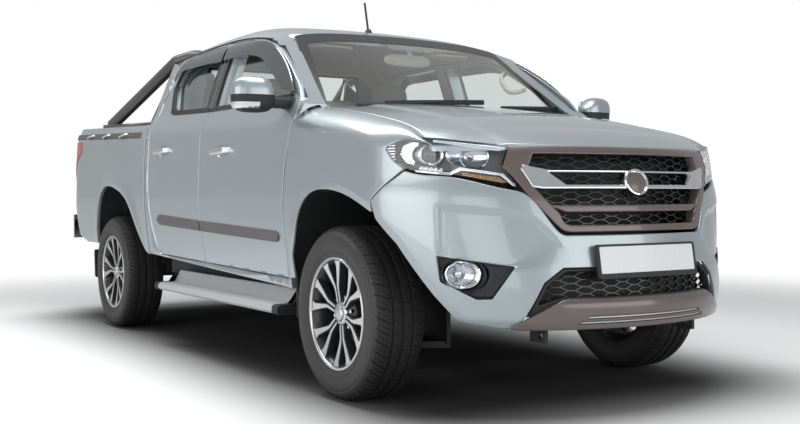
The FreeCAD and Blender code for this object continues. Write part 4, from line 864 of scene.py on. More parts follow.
# Fog lamps: black ribbed inserts screwed into the bumper's openings, each with a deep round well, a
# chromed ring and a clear glass.
def around(centre, turns, rows, frame_of):
    """Surface of revolution about +X of the profile rows (radius, station), placed by frame_of(x, y, z)."""
    a = np.linspace(0.0, 2 * math.pi, turns)[None, :]
    r = np.array([p[0] for p in rows])[:, None]
    x = np.array([p[1] for p in rows])[:, None] + 0 * a
    return net(np.stack(frame_of(x + centre[0], centre[1] + r * np.cos(a), centre[2] + r * np.sin(a)), -1))


def fog_swept(x, y, z):
    """Points moved back with the sweep of the nose, 0.8 mm for each millimetre outwards of the lamp."""
    return x - 0.8 * (y - 692.0), y, z


bright_reflector = grained("vacuum_metallised_reflector", "#C9CCCF", 0.12, 1.0,
                           6.0, 0.25, ("#BFC2C6", "#DADCDF"), (0.08, 0.2))
fog_x = float(nose_place(per_radian * math.asin(692.0 / 880.0), 561.0, 0.0)[0])
insert_ring = moved_in(fog_hole, 1.5)
well = by_width([(692 + 62 * math.cos(t), 561 + 62 * math.sin(t)) for t in even_angles(32)])
insert = panel(insert_ring, lambda q, z, d: nose_place(q, z, d + 3.0 * (np.round((z - 470.0) / 6.0) % 2)),
               16.0, 30.0, 2.0, (np.array(well),),
               lattice(np.arange(300, 1100, 14.0), np.arange(470, 640, 6.0)))
bowl = around((fog_x - 60, 692, 561), 41, [(66, 44), (64, 22), (60, -20), (54, -40), (0, -42)], fog_swept)
ring, cone, bulb, glass = (
    around((fog_x - 62, 692, 561), turns, rows, fog_swept) for turns, rows in (
        (49, [(44, 20), (45, 30), (50, 36), (55, 33), (57, 22), (57, -6), (44, -6), (44, 20)]),
        (49, [(45, 18), (40, 6), (26, -12), (10, -22), (0, -24)]),
        (25, [(12, -20), (13, 2), (8, 8), (0, 9)]),
        (49, [(44, 20), (30, 25), (0, 28), (0, 25), (29, 22), (44, 17), (44, 20)])))
for side, turned in both_sides:
    for name, parts, finish, slot, outward in (
            ("insert", insert, inner_black, "black_plastic", True),
            ("well", [bowl], inner_black, "black_plastic", False),
            ("ring", [ring], chrome, "bright_chrome", True),
            ("reflector", [cone], bright_reflector, "bright_chrome", False),
            ("bulb", [bulb], bright_reflector, "bright_chrome", True),
            ("glass", [glass], clear_lens, "lamp_lens", True)):
        piece("fog_" + name + "_" + side, turned(parts), finish, "root", slot, outward=outward)


# Headlamps: a clear polycarbonate lens glued over a dark housing with a projector in a chromed ring, a
# second reflector, a row of small lamps, and chromed blades above and below.
lamp_inner = [(524, 1053), (557, 978), (515, 903), (600, 920), (714, 943)]
lamp_outer = [(2199, 959), (2157, 969), (2108, 1006), (2078, 1046), (2142, 1083), (2196, 1089), (2250, 1084)]
lamp_ring = ring_of(by_width(lamp_inner) + by_station(lamp_outer), 20.0, 5.0)
lamp_spots = lattice(np.arange(500, 1290, 22.0), np.arange(900, 1092, 16.0))
lens = panel(lamp_ring, nose_place, 0.5, 3.5, 1.6, (), lamp_spots)
floor_part = panel(moved_in(lamp_ring, 7.0), nose_place, 62.0, 70.0, 2.0, (), lamp_spots)
wall_rows = [np.stack(nose_place(lamp_ring[:, 0], lamp_ring[:, 1], np.full(len(lamp_ring), d)), -1)
             for d in (5.0, 30.0, 66.0)]
wall = [closed_net(np.array(wall_rows))]
dark_housing = grained("satin_dark_lamp_housing", "#54575B", 0.34, 0.35,
                       3.0, 0.05, ("#4B4E52", "#5E6165"), (0.28, 0.4))
lamp_black = grained("gloss_dark_lamp_rim", "#202225", 0.25, 0.0,
                     5.0, 0.02, ("#1C1E21", "#26282B"), (0.2, 0.32), Coat_Weight=0.5)


def lamp_blade(points, front, back, radius=2.5):
    """Flat bright blade that follows the lens at a depth."""
    return panel(ring_of(points, 20.0, 3.0), nose_place, front, back, radius, (), lamp_spots)


def lamp_round(q, z, depth, rows, turns=41):
    """Surface of revolution that stands straight ahead, at a place of the nose set in by a depth."""
    x0, y0, z0 = (float(v) for v in nose_place(np.float64(q), np.float64(z), depth))
    return around((x0, y0, z0), turns, rows, lambda x, y, z: (x - 0.55 * (y - y0), y, z))


projector_ring = lamp_round(963, 1019, 34.0, [(30, -4), (33, 8), (38, 12), (42, 8), (44, -6), (44, -40),
                                              (30, -40), (30, -4)])
projector_lens = lamp_round(963, 1019, 34.0, [(31, -6), (26, 6), (14, 13), (0, 15)])
second_cup = lamp_round(744, 1010, 34.0, [(50, 10), (46, 12), (44, 4), (34, -16), (18, -30), (0, -34)])
third_cup = lamp_round(835, 1016, 34.0, [(32, 6), (29, 8), (27, 2), (18, -14), (0, -22)])
outer_bowl = lamp_blade(by_station([(2176, 978), (2145, 985), (2110, 1020), (2120, 1060), (2160, 1074),
                                    (2186, 1072)]), 40.0, 52.0, 4.0)
top_blade, low_blade, inner_blade, amber = (
    lamp_blade(by_width(points), front, back) for points, front, back in (
        ([(533, 1036), (560, 1030), (757, 1066), (757, 1077), (666, 1062), (536, 1044)], 5.0, 18.0),
        ([(551, 944), (556, 934), (685, 956), (722, 938), (810, 952), (812, 961), (724, 950), (692, 970)],
         5.0, 20.0),
        ([(516, 897), (528, 897), (566, 938), (556, 948)], 5.0, 16.0),
        ([(546, 912), (560, 908), (690, 938), (684, 950), (570, 930)], 8.0, 16.0)))
leds = [lamp_round(q, z, 16.0, [(8, -4), (8, 3), (5, 6), (0, 7)], 17) for q, z in
        zip(np.linspace(1004, 900, 5), np.linspace(966, 957, 5))]
ribs = []
for k in range(7):
    z0, end_q = 1000.0 + 11.0 * k, 1240 - abs(k - 4) * 12
    ribs += lamp_blade([(1160, z0), (end_q, z0), (end_q, z0 + 5), (1160, z0 + 5)], 6.0, 12.0, 1.0)
orange = grained("amber_reflector", "#9A7250", 0.2, 0.7,
                 5.0, 0.1, ("#8A6448", "#AF8864"), (0.15, 0.3))
for side, turned in both_sides:
    for name, parts, finish, slot in (
            ("lens", lens, clear_lens, "lamp_lens"),
            ("floor", floor_part, dark_housing, "black_plastic"),
            ("wall", wall, lamp_black, "black_plastic"),
            ("projector_ring", [projector_ring], chrome, "bright_chrome"),
            ("projector", [projector_lens], lamp_black, "lamp_lens"),
            ("cups", [second_cup, third_cup], bright_reflector, "bright_chrome"),
            ("outer_bowl", outer_bowl, bright_reflector, "bright_chrome"),
            ("blades", top_blade + low_blade + inner_blade, chrome, "bright_chrome"),
            ("turn_lamp", amber, orange, "lamp_lens"),
            ("lamp_row", leds, bright_reflector, "bright_chrome"),
            ("ribs", ribs, bright_reflector, "lamp_lens")):
        stands_for = ["front_lamps"] if (name, side) == ("lens", "l") else ()
        piece("headlamp_" + name + "_" + side, turned(parts), finish, "root", slot, stands_for,
              outward=name not in ("wall", "cups"))


# Grille: a frame in warm grey-brown paint clipped between the lamps, a black honeycomb of wide
# cells behind it, two chromed bars that meet in wings, one painted bar below, and a bare round badge.
brown_paint = grained("warm_grey_metallic_paint", "#5F5452", 0.36, 0.35,
                      1.2, 0.0, ("#574C4A", "#6A5F5C"), (0.32, 0.42), Coat_Weight=0.7, Coat_Roughness=0.08)
frame_ring = nose_ring([(330, 720), (362, 727, True), (382, 745, True), (500, 897), (555, 972), (522, 1052)],
                       6.0)
hole_ring = nose_ring([(330, 747), (352, 757, True), (364, 790), (458, 905), (462, 972), (438, 1022)], 6.0)
grille_spots = lattice(np.arange(-600, 601, 20.0), np.arange(722, 1060, 14.0))


def grille_place(q, z, depth):
    """The nose, held under the hood's front edge by leaning back a little more above 1020 mm."""
    return nose_place(q, z, depth + 0.3 * ramp(z - 1030.0, 8.0))


frame_part = panel(frame_ring, grille_place, 0.0, 40.0, 5.0, (hole_ring,), grille_spots)
piece("grille_frame", frame_part, brown_paint, "root", "brown_grey_paint", ["grille"])


def honeycomb(zone, depth, thickness, low_z, rows, columns, height=27.0):
    """Wide hexagons side by side. Each is drawn with its border, its wall and its inner edge."""
    tip, flat, web = 44.0, 15.0, 1.5
    parts = []
    for i in range(-columns, columns + 1):
        for j in range(rows):
            y, z = i * (tip + flat), low_z + (j + 0.5 * (i % 2)) * height
            middle_q = per_radian * math.asin(min(1.0, abs(y) / 890.0)) * np.sign(y)
            if not inside(zone, np.array([[middle_q, z]]))[0]:
                continue
            corners = np.array([(-1.0, 0.0), (-flat / tip, -1.0), (flat / tip, -1.0), (1.0, 0.0),
                                (flat / tip, 1.0), (-flat / tip, 1.0)])
            outer = corners * np.array([tip, height / 2]) + np.array([y, z])
            inner = corners * np.array([tip - 2.4 * web, height / 2 - web]) + np.array([y, z])
            rows_of = []
            for outline, d in ((outer, depth), (inner, depth), (inner, depth + thickness),
                               (outer, depth + thickness)):
                flat_q = np.array([(per_radian * math.asin(p[0] / 890.0), p[1]) for p in outline])
                rows_of.append(np.stack(nose_place(flat_q[:, 0], flat_q[:, 1], np.full(6, d)), -1))
            parts.append(closed_net(np.array(rows_of)))
    return parts


mesh_black = grained("gloss_black_honeycomb", "#121315", 0.3, 0.0,
                     2.0, 0.05, ("#0F1012", "#18191C"), (0.25, 0.38), Coat_Weight=0.4)
zone = moved_in(hole_ring, -16.0)
piece("grille_honeycomb", honeycomb(zone, 40.0, 12.0, 738.0, 12, 9), mesh_black, "root", "black_plastic")
wing_ring = nose_ring([(420, 886), (458, 892), (493, 962), (484, 980), (371, 957)])
bars_gap = nose_ring([(326, 903), (388, 950)], 3.0)
bars = panel(wing_ring, nose_place, -6.0, 26.0, 5.0, (bars_gap,), grille_spots)
piece("grille_chrome_bars", bars, chrome, "root", "bright_chrome")
low_bar = panel(nose_ring([(340, 796), (396, 818), (388, 824)]), nose_place, 2.0, 30.0, 6.0, (), grille_spots)
piece("grille_lower_bar", low_bar, brown_paint, "root", "brown_grey_paint")
badge_z = 914.0


def leaned(x, y, z):
    """Points leaned back with the nose, 0.225 mm for each millimetre above the badge's middle."""
    return x - 0.225 * (z - badge_z), y, z


ellipse = [(62, -26), (64, 2), (60, 10), (54, 11), (50, 6), (46, 6), (30, 8), (0, 9)]
for name, rows, finish, slot in (("badge_rim", ellipse[:5], chrome, "bright_chrome"),
                                 ("badge_face", ellipse[4:], brown_paint, "brown_grey_paint")):
    part = around((float(nose_x(badge_z)), 0.0, badge_z), 61, rows, leaned)
    squeezed = (part[0] * np.array([1.0, 1.0, 0.86]) + np.array([0.0, 0.0, 0.14 * badge_z]), part[1])
    piece("grille_" + name, [squeezed], finish, "root", slot)


# Lower guard: a black honeycomb air intake over a warm grey skid plate with two bright slots, and a
# black holder with a blank plate screwed across the intake.
guard_ring = nose_ring([(376, 584), (449, 530), (496, 431), (512, 400)])
intake_ring = nose_ring([(366, 570), (436, 522), (474, 446), (380, 474)])
guard_spots = lattice(np.arange(-640, 641, 22.0), np.arange(345, 580, 14.0))
surround = panel(guard_ring, nose_place, 14.0, 44.0, 5.0, (intake_ring,), guard_spots)
piece("intake_surround", surround, inner_black, "root", "black_plastic", ["bumper_guard"])
zone = moved_in(guard_ring, 26.0)
backing = panel(moved_in(zone, -24.0), nose_place, 84.0, 90.0, 1.0, (), guard_spots)
piece("intake_backing", backing, inner_black, "root", "black_plastic")
piece("intake_honeycomb", honeycomb(zone, 34.0, 12.0, 430.0, 7, 10), mesh_black, "root", "black_plastic")


def skid_place(q, z, depth):
    """The nose standing 10 mm proud, with an upper face that leans back above its edge at 430 mm."""
    return nose_place(q, z, depth - 10.0 * smooth((470.0 - z) / 26.0) + 0.3 * ramp(384.0 - z, 4.0))


def slot_ring(half, low_z, taper, tall, corner):
    """Outline of a slot across the skid plate that narrows upwards."""
    return ring_of(by_width([(-half, low_z), (half, low_z), (half - taper, low_z + tall),
                             (taper - half, low_z + tall)]), 24.0, corner)


skid_ring = nose_ring([(530, 350), (560, 357), (500, 400), (388, 466), (362, 470)], 5.0)
slots = [slot_ring(half, low_z, 14, 9, 2.0) for half, low_z in ((330.0, 372.0), (300.0, 392.0))]
skid = panel(skid_ring, skid_place, -2.0, 26.0, 5.0, slots, guard_spots)
piece("skid_plate", skid, brown_paint, "root", "brown_grey_paint")
bars = []
for half, low_z in ((326.0, 373.5), (296.0, 393.5)):
    bars += panel(slot_ring(half, low_z, 12, 6, 1.0), skid_place, 3.0, 16.0, 1.0, (), guard_spots)
brushed = grained("satin_aluminium", "#BFC0C0", 0.36, 0.9,
                  3.0, 0.03, ("#B4B5B6", "#CACBCB"), (0.3, 0.42))
piece("skid_slot_bars", bars, brushed, "root", "brushed_aluminium")
white_sheet = grained("blank_white_plate_sheet", "#D9DADA", 0.4, 0.0,
                      8.0, 0.02, ("#D3D4D5", "#DEDFDF"), (0.35, 0.45), Coat_Weight=0.3)


def plate_place(y, z, depth):
    """Upright sheet that leans back with the nose."""
    return 2642.0 - 0.16 * (z - 562.0) - depth, y, z


def oblong(half, low_z, high_z, corner, step=30.0):
    """Rectangle across the truck with rounded corners."""
    return ring_of([(-half, low_z), (half, low_z), (half, high_z), (-half, high_z)], step, corner)


plate_edge = oblong(262, 541, 672, 10.0)
holder = panel(plate_edge, plate_place, 3.0, 16.0, 4.0)
rim = panel(plate_edge, plate_place, 0.0, 6.0, 2.0, (oblong(250, 562, 664, 6.0),))
sheet = panel(oblong(252, 560, 666, 6.0), plate_place, 1.6, 3.4, 0.6)
piece("plate_holder", holder + rim, inner_black, "root", "black_plastic")
piece("plate_sheet", sheet, white_sheet, "root", "white_plate", ["number_plate"])


# Cab: one welded shell with its pillars, sills, floor and roof. Its outside is sprayed with the body
# and its inside is lined with beige-grey panels and a knitted headliner.
def merged_copy(name, node, finishes, number_of, body, sharp=32.0):
    """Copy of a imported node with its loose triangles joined, and a finish chosen for each face."""
    mesh = cad[node].data.copy()
    mesh.name = name
    work = bmesh.new()
    work.from_mesh(mesh)
    bmesh.ops.transform(work, matrix=cad[node].matrix_world, verts=work.verts)
    bmesh.ops.remove_doubles(work, verts=work.verts, dist=2e-5)
    work.to_mesh(mesh)
    work.free()
    mesh.materials.clear()
    count = len(mesh.polygons)
    middle, normal = np.empty(count * 3), np.empty(count * 3)
    mesh.polygons.foreach_get("center", middle)
    mesh.polygons.foreach_get("normal", normal)
    numbers = number_of(middle.reshape(-1, 3) * 1000.0, normal.reshape(-1, 3))
    mesh.polygons.foreach_set("material_index", numbers.astype(np.int32))
    return shown(name, mesh, finishes, body, [node], sharp)


def cab_finish(middle, normal):
    """Paint outside, beige lining on every face that looks into the cabin, black below."""
    x, y, z = middle.T
    width = side_y(x, z)
    inward = (np.abs(y) < width - 36.0) & (x > -640.0) & (x < 1205.0) & (z < 1790.0) & (z > 575.0)
    facing = (np.sign(y) * normal[:, 1] < 0.2) & ~(normal[:, 2] > 0.5) | (z < 1150.0)
    lining = inward & facing & (normal[:, 2] < 0.6) | inward & (z < 1300.0)
    below = (z < 560.0) & (normal[:, 2] < -0.5) | (x > 1200.0) & (np.abs(y) < 760.0) & (z < 1230.0)
    return np.where(below, 2, np.where(lining, 1, 0))


beige_trim = grained("beige_grey_interior_panels", "#B3ADA3", 0.62, 0.0,
                     1.8, 0.15, ("#ABA59B", "#BBB5AB"), (0.55, 0.7))
merged_copy("cab_body", "cab_shell", [body_paint, beige_trim, inner_black], cab_finish, "root")


# Windscreen: laminated glass, bonded to the pillars behind a black fired-on border.
def windscreen_place(y, z, depth):
    """The raked and bowed screen: a parabola up the middle with a bulge that grows towards its foot."""
    rise = z - 1288.0
    bulge = (130.0 - 0.19 * rise) * (1 - (y / 700.0) ** 2)
    return 1254.0 - 1.22 * rise - 0.00018 * rise * rise + bulge - depth, y, z


def pillar_edge(z):
    """Half width of the screen where it meets the inner side of the pillar."""
    y = 700.0
    for k in range(12):
        y = float(side_y(windscreen_place(y, z, 0.0)[0], z)) - 106.0
    return y


sides = [(pillar_edge(z), float(z), True) for z in (1262, 1340, 1420, 1500, 1580, 1640)]
sides[0] = sides[0][:2]
top = [(620.0, 1668.0), (560.0, 1680.0, True), (300.0, 1703.0, True)]
outline = sides + top + [(0.0, 1709.0, True)] + [(-y, z, *rest) for y, z, *rest in reversed(sides + top)]
screen_ring = ring_of(outline, 30.0, 24.0)
screen_spots = lattice(np.arange(-760, 761, 36.0), np.arange(1270, 1715, 30.0))
windscreen_glass = clear_pane("clear_laminated_glass", "#F8FAF9")
screen = panel(screen_ring, windscreen_place, 0.0, 6.0, 1.0, (), screen_spots)
piece("windscreen_pane", screen, windscreen_glass, "root", "clear_glass", ["fixed_glass"])
fired_black = grained("fired_black_border", "#101113", 0.3, 0.0,
                      3.0, 0.01, ("#0D0E10", "#141517"), (0.25, 0.38), Coat_Weight=0.5)
border = panel(moved_in(screen_ring, -8.0), windscreen_place, -1.4, 7.4, 1.0, (moved_in(screen_ring, 42.0),),
               screen_spots)
piece("windscreen_border", border, fired_black, "root", "black_plastic")


def rear_place(y, z, depth):
    """Flat rear window that leans forward with the cab's rear wall."""
    return -698.0 + 0.229 * (z - 1340.0) - depth, y, z


rear_ring = ring_of([(-558, 1374), (558, 1374), (528, 1658), (-528, 1658)], 40.0, 40.0)
rear = panel(rear_ring, rear_place, 0.0, 5.0, 1.0)
rear_seal = panel(moved_in(rear_ring, -22.0), rear_place, -2.0, 18.0, 3.0, (moved_in(rear_ring, 8.0),))
piece("rear_window_pane", rear, side_glass, "root", "clear_glass")
piece("rear_window_seal", rear_seal, seal_rubber, "root", "black_plastic")


# Drip strips: black extrusions laid in the groove between roof and side from screen to rear wall.
def roof_edge_z(x):
    """Height of the roof's side edge."""
    return np.where(x > 150.0, 1702.0 - 54.0 * (np.maximum(0.0, x - 150.0) / 610.0) ** 2.2,
                    1702.0 - 30.0 * (np.maximum(0.0, 150.0 - x) / 850.0) ** 2)


def bar_along(path, half_wide, half_tall, power=4.0, turns=20):
    """Bar of a rounded oblong section along a path, kept upright, with capped ends."""
    path = np.array(path, float)
    along = np.gradient(path, axis=0)
    along /= np.linalg.norm(along, axis=1)[:, None]
    across = np.cross([0.0, 0.0, 1.0], along)
    across /= np.linalg.norm(across, axis=1)[:, None]
    rise = np.cross(along, across)
    a = even_angles(turns)
    c = np.sign(np.cos(a)) * np.abs(np.cos(a)) ** (2 / power)
    s = np.sign(np.sin(a)) * np.abs(np.sin(a)) ** (2 / power)
    section = (across[:, None] * c[None, :, None] * np.reshape(half_wide, (-1, 1, 1))
               + rise[:, None] * s[None, :, None] * np.reshape(half_tall, (-1, 1, 1)))
    return loft(path, section)


run = np.linspace(-640.0, 745.0, 50)
drip_path = np.column_stack([run, side_y(run, roof_edge_z(run)) - 3.0, roof_edge_z(run) + 1.0])
pair("roof_drip_strips", [bar_along(drip_path, 8.0, 4.0)], seal_rubber, "root", "black_plastic")

# Wind deflectors: thin smoked acrylic, stuck along the top of each door's window frame, with a bright
# strip along the front one.
smoked = grained("smoked_acrylic", "#2A2C2E", 0.1, 0.0,
                 30.0, 0.01, ("#26282A", "#303234"), (0.07, 0.14), Coat_Weight=0.8)
front_line = [(1196, 1340), (1216, 1346), (1140, 1420, True), (968, 1540, True), (770, 1628, True),
              (560, 1664), (212, 1678), (212, 1600), (540, 1592), (720, 1556, True), (890, 1474, True),
              (1080, 1366)]
rear_line = [(188, 1678), (-330, 1672), (-428, 1648, True), (-506, 1574), (-478, 1544), (-420, 1590, True),
             (-340, 1604), (188, 1602)]


def deflector_place(x, z, depth):
    """The side moved 16 mm out, less near the roof, where a smooth step brings it back."""
    return side_place(x, z, depth - 16.0 * smooth((1700.0 - z) / 60.0))


spots = side_spots(-600, 1300, 1330, 1690)
deflectors = [panel(ring_of(line, 20.0, 5.0), deflector_place, -5.0, -1.0, 1.2, (), spots)
              for line in (front_line, rear_line)]
line = cubic_through([(1206, 1347), (1130, 1424), (960, 1545), (766, 1633), (560, 1668)], 16.0)
bright_path = np.column_stack([line[:, 0], side_y(line[:, 0], line[:, 1]) + 16.0, line[:, 1]])
bright = [bar_along(bright_path, 2.2, 5.0)]
for side, turned in both_sides:
    for letter, part in zip("fr", deflectors):
        piece("deflector_" + letter + side, turned(part), smoked, "door_" + letter + side, "black_plastic")
    piece("deflector_strip_f" + side, turned(bright), chrome, "door_f" + side, "bright_chrome")

# Cowl and wipers: a black louvred panel under the screen, and two sprung arms with rubber blades.
q = np.linspace(-700.0, 700.0, 61)
foot = windscreen_place(q, np.full(61, 1268.0), 0.0)[0] + 2.0
rows = []
for t in np.linspace(0.0, 1.0, 33):
    louvre = 6.0 * (0.5 + 0.5 * np.sin(t * 2 * math.pi * 8)) * (t > 0.3)
    x = foot + (1392.0 - 60.0 * (q / 700.0) ** 2 - foot) * t
    z = 1268.0 - 10.0 * t + 14.0 * (1 - (q / 700.0) ** 2) - louvre
    rows.append(np.stack([x, q, z], -1))
rows.append(rows[-1] - np.array([0.0, 0.0, 40.0]))
rows.append(rows[0] - np.array([0.0, 0.0, 50.0]))
rows.append(rows[0])
piece("cowl_louvres", [net(np.array(rows))], inner_black, "root", "black_plastic", ["cowl_panel"])


def before_screen(y, z, gap):
    """Path in front of the windscreen at a gap."""
    return np.column_stack([windscreen_place(y, z, 0.0)[0] + gap, y, z])


wiper_parts = []
for base_y, tip_y, blade_half in ((-560.0, -120.0, 300.0), (70.0, 500.0, 260.0)):
    pivot = np.array([1352.0 - 50 * (base_y / 700) ** 2, base_y, 1278.0])
    wiper_parts.append(around(tuple(pivot), 25, [(0, 16), (14, 14), (17, 4), (17, -20), (0, -20)],
                              lambda x, y, z: (pivot[0] + (z - pivot[2]), y, pivot[2] + (x - pivot[0]))))
    t = np.linspace(0.0, 1.0, 24)
    reach = pivot[0] - windscreen_place(base_y, 1284.0, 0.0)[0] - 26.0
    arm = before_screen(base_y + (tip_y - base_y) * t, 1284.0 + 34.0 * t ** 1.2,
                        26.0 - 8.0 * t + reach * (1 - t) ** 3)
    wiper_parts.append(bar_along(arm, 9.0 - 4.0 * t, 6.0 - 1.5 * t))
    y = np.linspace(tip_y - blade_half, tip_y + blade_half * 0.9, 40)
    blade = before_screen(y, 1300.0 + 30.0 * (y - tip_y + blade_half) / (2 * blade_half), 7.0)
    wiper_parts.append(bar_along(blade, 6.0, 13.0))
piece("wipers", wiper_parts, inner_black, "root", "black_plastic")


# Load bed sides: a painted outer skin with a top rail, three rope hooks in a channel below the rail, whose
# shade is painted as a dark sheet in it, and a plastic cap on top that the sports bar stands on.
bed_front_x, bed_rear_x, bed_wall_y = -730.0, -2435.0, 762.0


def rail_top_z(x):
    """Height of the bed side, which rises towards the rear."""
    return 1300.0 + 0.038 * (bed_front_x - x)


def bed_corner(x, z):
    """How far the rear corner is rounded inwards: the square of the last 210 mm, more of it higher up."""
    t = np.clip((bed_rear_x + 210.0 - x) / 210.0, 0.0, 1.1)
    return (34.0 + 0.085 * np.clip(z - 800.0, 0.0, 600.0)) * t * t


def bed_place(x, z, depth):
    """The body side, with a 9 mm channel under the top rail."""
    top_z = rail_top_z(x)
    dent = 9.0 * smooth((top_z - 34.0 - z) / 8.0) * smooth((z - top_z + 84.0) / 8.0)
    dent = dent * smooth((x + 2330.0) / 30.0) * smooth((-800.0 - x) / 30.0)
    return x, side_y(x, z) - depth - dent - arch_lip(x, z, rear_edge) - bed_corner(x, z), z


rear_lip = [(-1815, 546), (-1788, 646), (-1742, 736, True), (-1710, 826, True), (-1634, 902, True),
            (-1479, 937, True), (-1243, 907, True), (-1074, 846, True), (-938, 721, True), (-810, 528)]
rear_edge = arch_edge(rear_lip, 3.0)
bed_points = [(bed_rear_x + 2, 850), (-2385, 690), (-2300, 590), (-2100, 545)] + rear_lip
bed_points += [(bed_front_x - 2, 512), (bed_front_x - 2, 1300), (bed_rear_x + 2, 1365)]
columns_x = np.concatenate([bed_rear_x + np.arange(10, 190, 15.0),
                            np.arange(bed_rear_x + 190, bed_front_x, 24.0)])
rail_spots = lattice(np.arange(bed_rear_x + 12, bed_front_x, 22.0),
                     np.array([-150.0, -120, -100, -90, -84, -78, -60, -44, -38, -32, -24, -12]))
rail_spots[:, 1] += rail_top_z(rail_spots[:, 0])
bed_spots = np.vstack([lattice(columns_x, np.arange(520, 1200, 24.0)), rail_spots])
bed_spots = bed_spots[arch_gap(bed_spots[:, 0], bed_spots[:, 1], rear_edge) > 44.0]
bed_spots = np.vstack([bed_spots, arch_rows(rear_lip)])
bed_skin = panel(ring_of(bed_points, 24.0, 8.0), bed_place, 0.0, 22.0, 3.0, (), bed_spots)
rail_x = np.linspace(bed_rear_x + 2, bed_front_x - 2, 60)
rail_z = rail_top_z(rail_x)
rail_y = side_y(rail_x, rail_z) - bed_corner(rail_x, rail_z)
profile = [(0.0, -4.0), (-3.0, 1.0), (-12.0, 3.0), (-60.0, 4.0), (-72.0, 0.0), (-76.0, -10.0), (-76.0, -60.0),
           (-70.0, -60.0), (-10.0, -8.0), (0.0, -4.0)]
rail_cap = [net(np.stack([np.stack([rail_x, rail_y + dy, rail_z + dz], -1) for dy, dz in profile]))]
inner_wall = [net(np.stack([np.stack([rail_x, np.full(60, y), z], -1) for y, z in (
    (bed_wall_y, np.full(60, 862.0)), (bed_wall_y, rail_z - 8.0),
    (side_y(rail_x, rail_z).mean() - 70.0, rail_z - 8.0))]))]
hooks = []
for x0 in (-1180.0, -1560.0, -1940.0):
    t = np.linspace(-1.0, 1.0, 22)
    x, z = x0 + 62.0 * t, rail_top_z(x0) - 60.0
    path = np.column_stack([x, side_y(x, z) - 9.0 + 24.0 * (1 - t ** 6), z + 8.0 * t])
    hooks.append(bar_along(path, 6.0, 6.0, 2.0, 14))
# Dark warm satin: the sports bar's own paint, and also the painted shade of the rail channels.
dark_satin_and_painted_shade = grained("dark_warm_satin_paint_and_painted_shade", "#4C4A49", 0.42, 0.3,
                     1.2, 0.03, ("#464443", "#535150"), (0.36, 0.5), Coat_Weight=0.25)
pair("bed_side_skins", bed_skin, body_paint, "root", "body_paint", ["bed_sides"])
pair("bed_rail_caps", rail_cap, body_paint, "root", "body_paint")
pair("bed_inner_walls", inner_wall, inner_black, "root", "black_plastic", outward=False)
pair("bed_rope_hooks", hooks, chrome, "root", "bright_chrome")

# Tail lamps: red acrylic lenses, wrapped round the rear corners, with a clear reversing window.
red_lens = grained("red_acrylic_lens", "#B3262C", 0.12, 0.0,
                   5.0, 0.05, ("#A82026", "#C0333A"), (0.1, 0.2), Coat_Weight=0.8, Transmission_Weight=0.15)
tail_ring = ring_of([(bed_rear_x - 8, 985), (bed_rear_x + 30, 985), (bed_rear_x + 130, 1090, True),
                     (bed_rear_x + 285, 1185), (bed_rear_x + 278, 1262), (bed_rear_x - 8, 1278)], 16.0, 8.0)
tail = panel(tail_ring, lambda x, z, d: (x, side_y(x, z) - d - bed_corner(x, z), z), -7.0, 30.0, 8.0, (),
             side_spots(-2460, -2140, 980, 1290))
face_ring = ring_of([(760, 990), (826, 996), (806, 1270), (760, 1276)], 24.0, 12.0)
face = panel(face_ring, lambda y, z, d: (bed_rear_x - 10.0 + d, y, z), 0.0, 30.0, 6.0)
clear_ring = ring_of([(768, 1096), (812, 1096), (809, 1150), (768, 1150)], 20.0, 6.0)
clear_window = panel(clear_ring, lambda y, z, d: (bed_rear_x - 12.0 + d, y, z), 0.0, 6.0, 2.0)
pair("tail_lamp_lenses", tail + face, red_lens, "root", "red_lens", ["tail_lamps"])
pair("tail_lamp_windows", clear_window, clear_lens, "root", "lamp_lens")


# Tailgate: a pressed double panel on two pins, with a recessed centre panel and a black pull handle.
def gate_place(y, z, depth):
    """Upright rear face with a 7 mm recess whose border is a soft step."""
    dent = 7.0 * smooth((600.0 - np.abs(y)) / 22.0) * smooth((z - 920.0) / 22.0) * smooth((1250.0 - z) / 22.0)
    return bed_rear_x + depth + dent, y, z


step_in = np.arange(0, 23, 5.0)
gate_spots = lattice(np.concatenate([np.arange(-740, 741, 40.0), step_in - 600, 600 - step_in]),
                     np.concatenate([np.arange(860, 1350, 40.0), 920 + step_in, 1250 - step_in]))
gate = panel(oblong(755, 844, 1357, 16.0), gate_place, 0.0, 50.0, 6.0, (), gate_spots)
pull = panel(oblong(95, 1140, 1205, 14.0), gate_place, -14.0, 4.0, 5.0)
piece("tailgate_panel", gate, body_paint, "tailgate", "body_paint", ["tailgate"])
piece("tailgate_pull", pull, inner_black, "tailgate", "black_plastic")


# Tyres: black rubber on a steel-belted carcass, moulded with shoulder blocks, four grooves and fine cuts, and
# plain side walls whose rubber is a lighter grey than the tread as a painted sheen.
wheel_y = 784.0
wheels = [(letter + side, axle_x, 1.0 if side == "l" else -1.0)
          for letter, axle_x in (("f", front_axle_x), ("r", rear_axle_x)) for side in ("l", "r")]


def on_wheel(points, axle_x, side):
    """Points (ahead, up, outward) of a wheel, set on its axle on one side of the truck."""
    return np.column_stack([axle_x + points[:, 0], side * (wheel_y + points[:, 2]), hub_z + points[:, 1]])


def spun(rows, angles):
    """Surface of revolution of rows (radius, outward) about the axle at the angles, closed on itself."""
    r, w = np.array(rows, float).T[:, :, None]
    a = np.append(angles, angles[0] + 2 * math.pi)[None, :]
    return net(np.stack([r * np.cos(a), r * np.sin(a), w + 0 * a], -1))


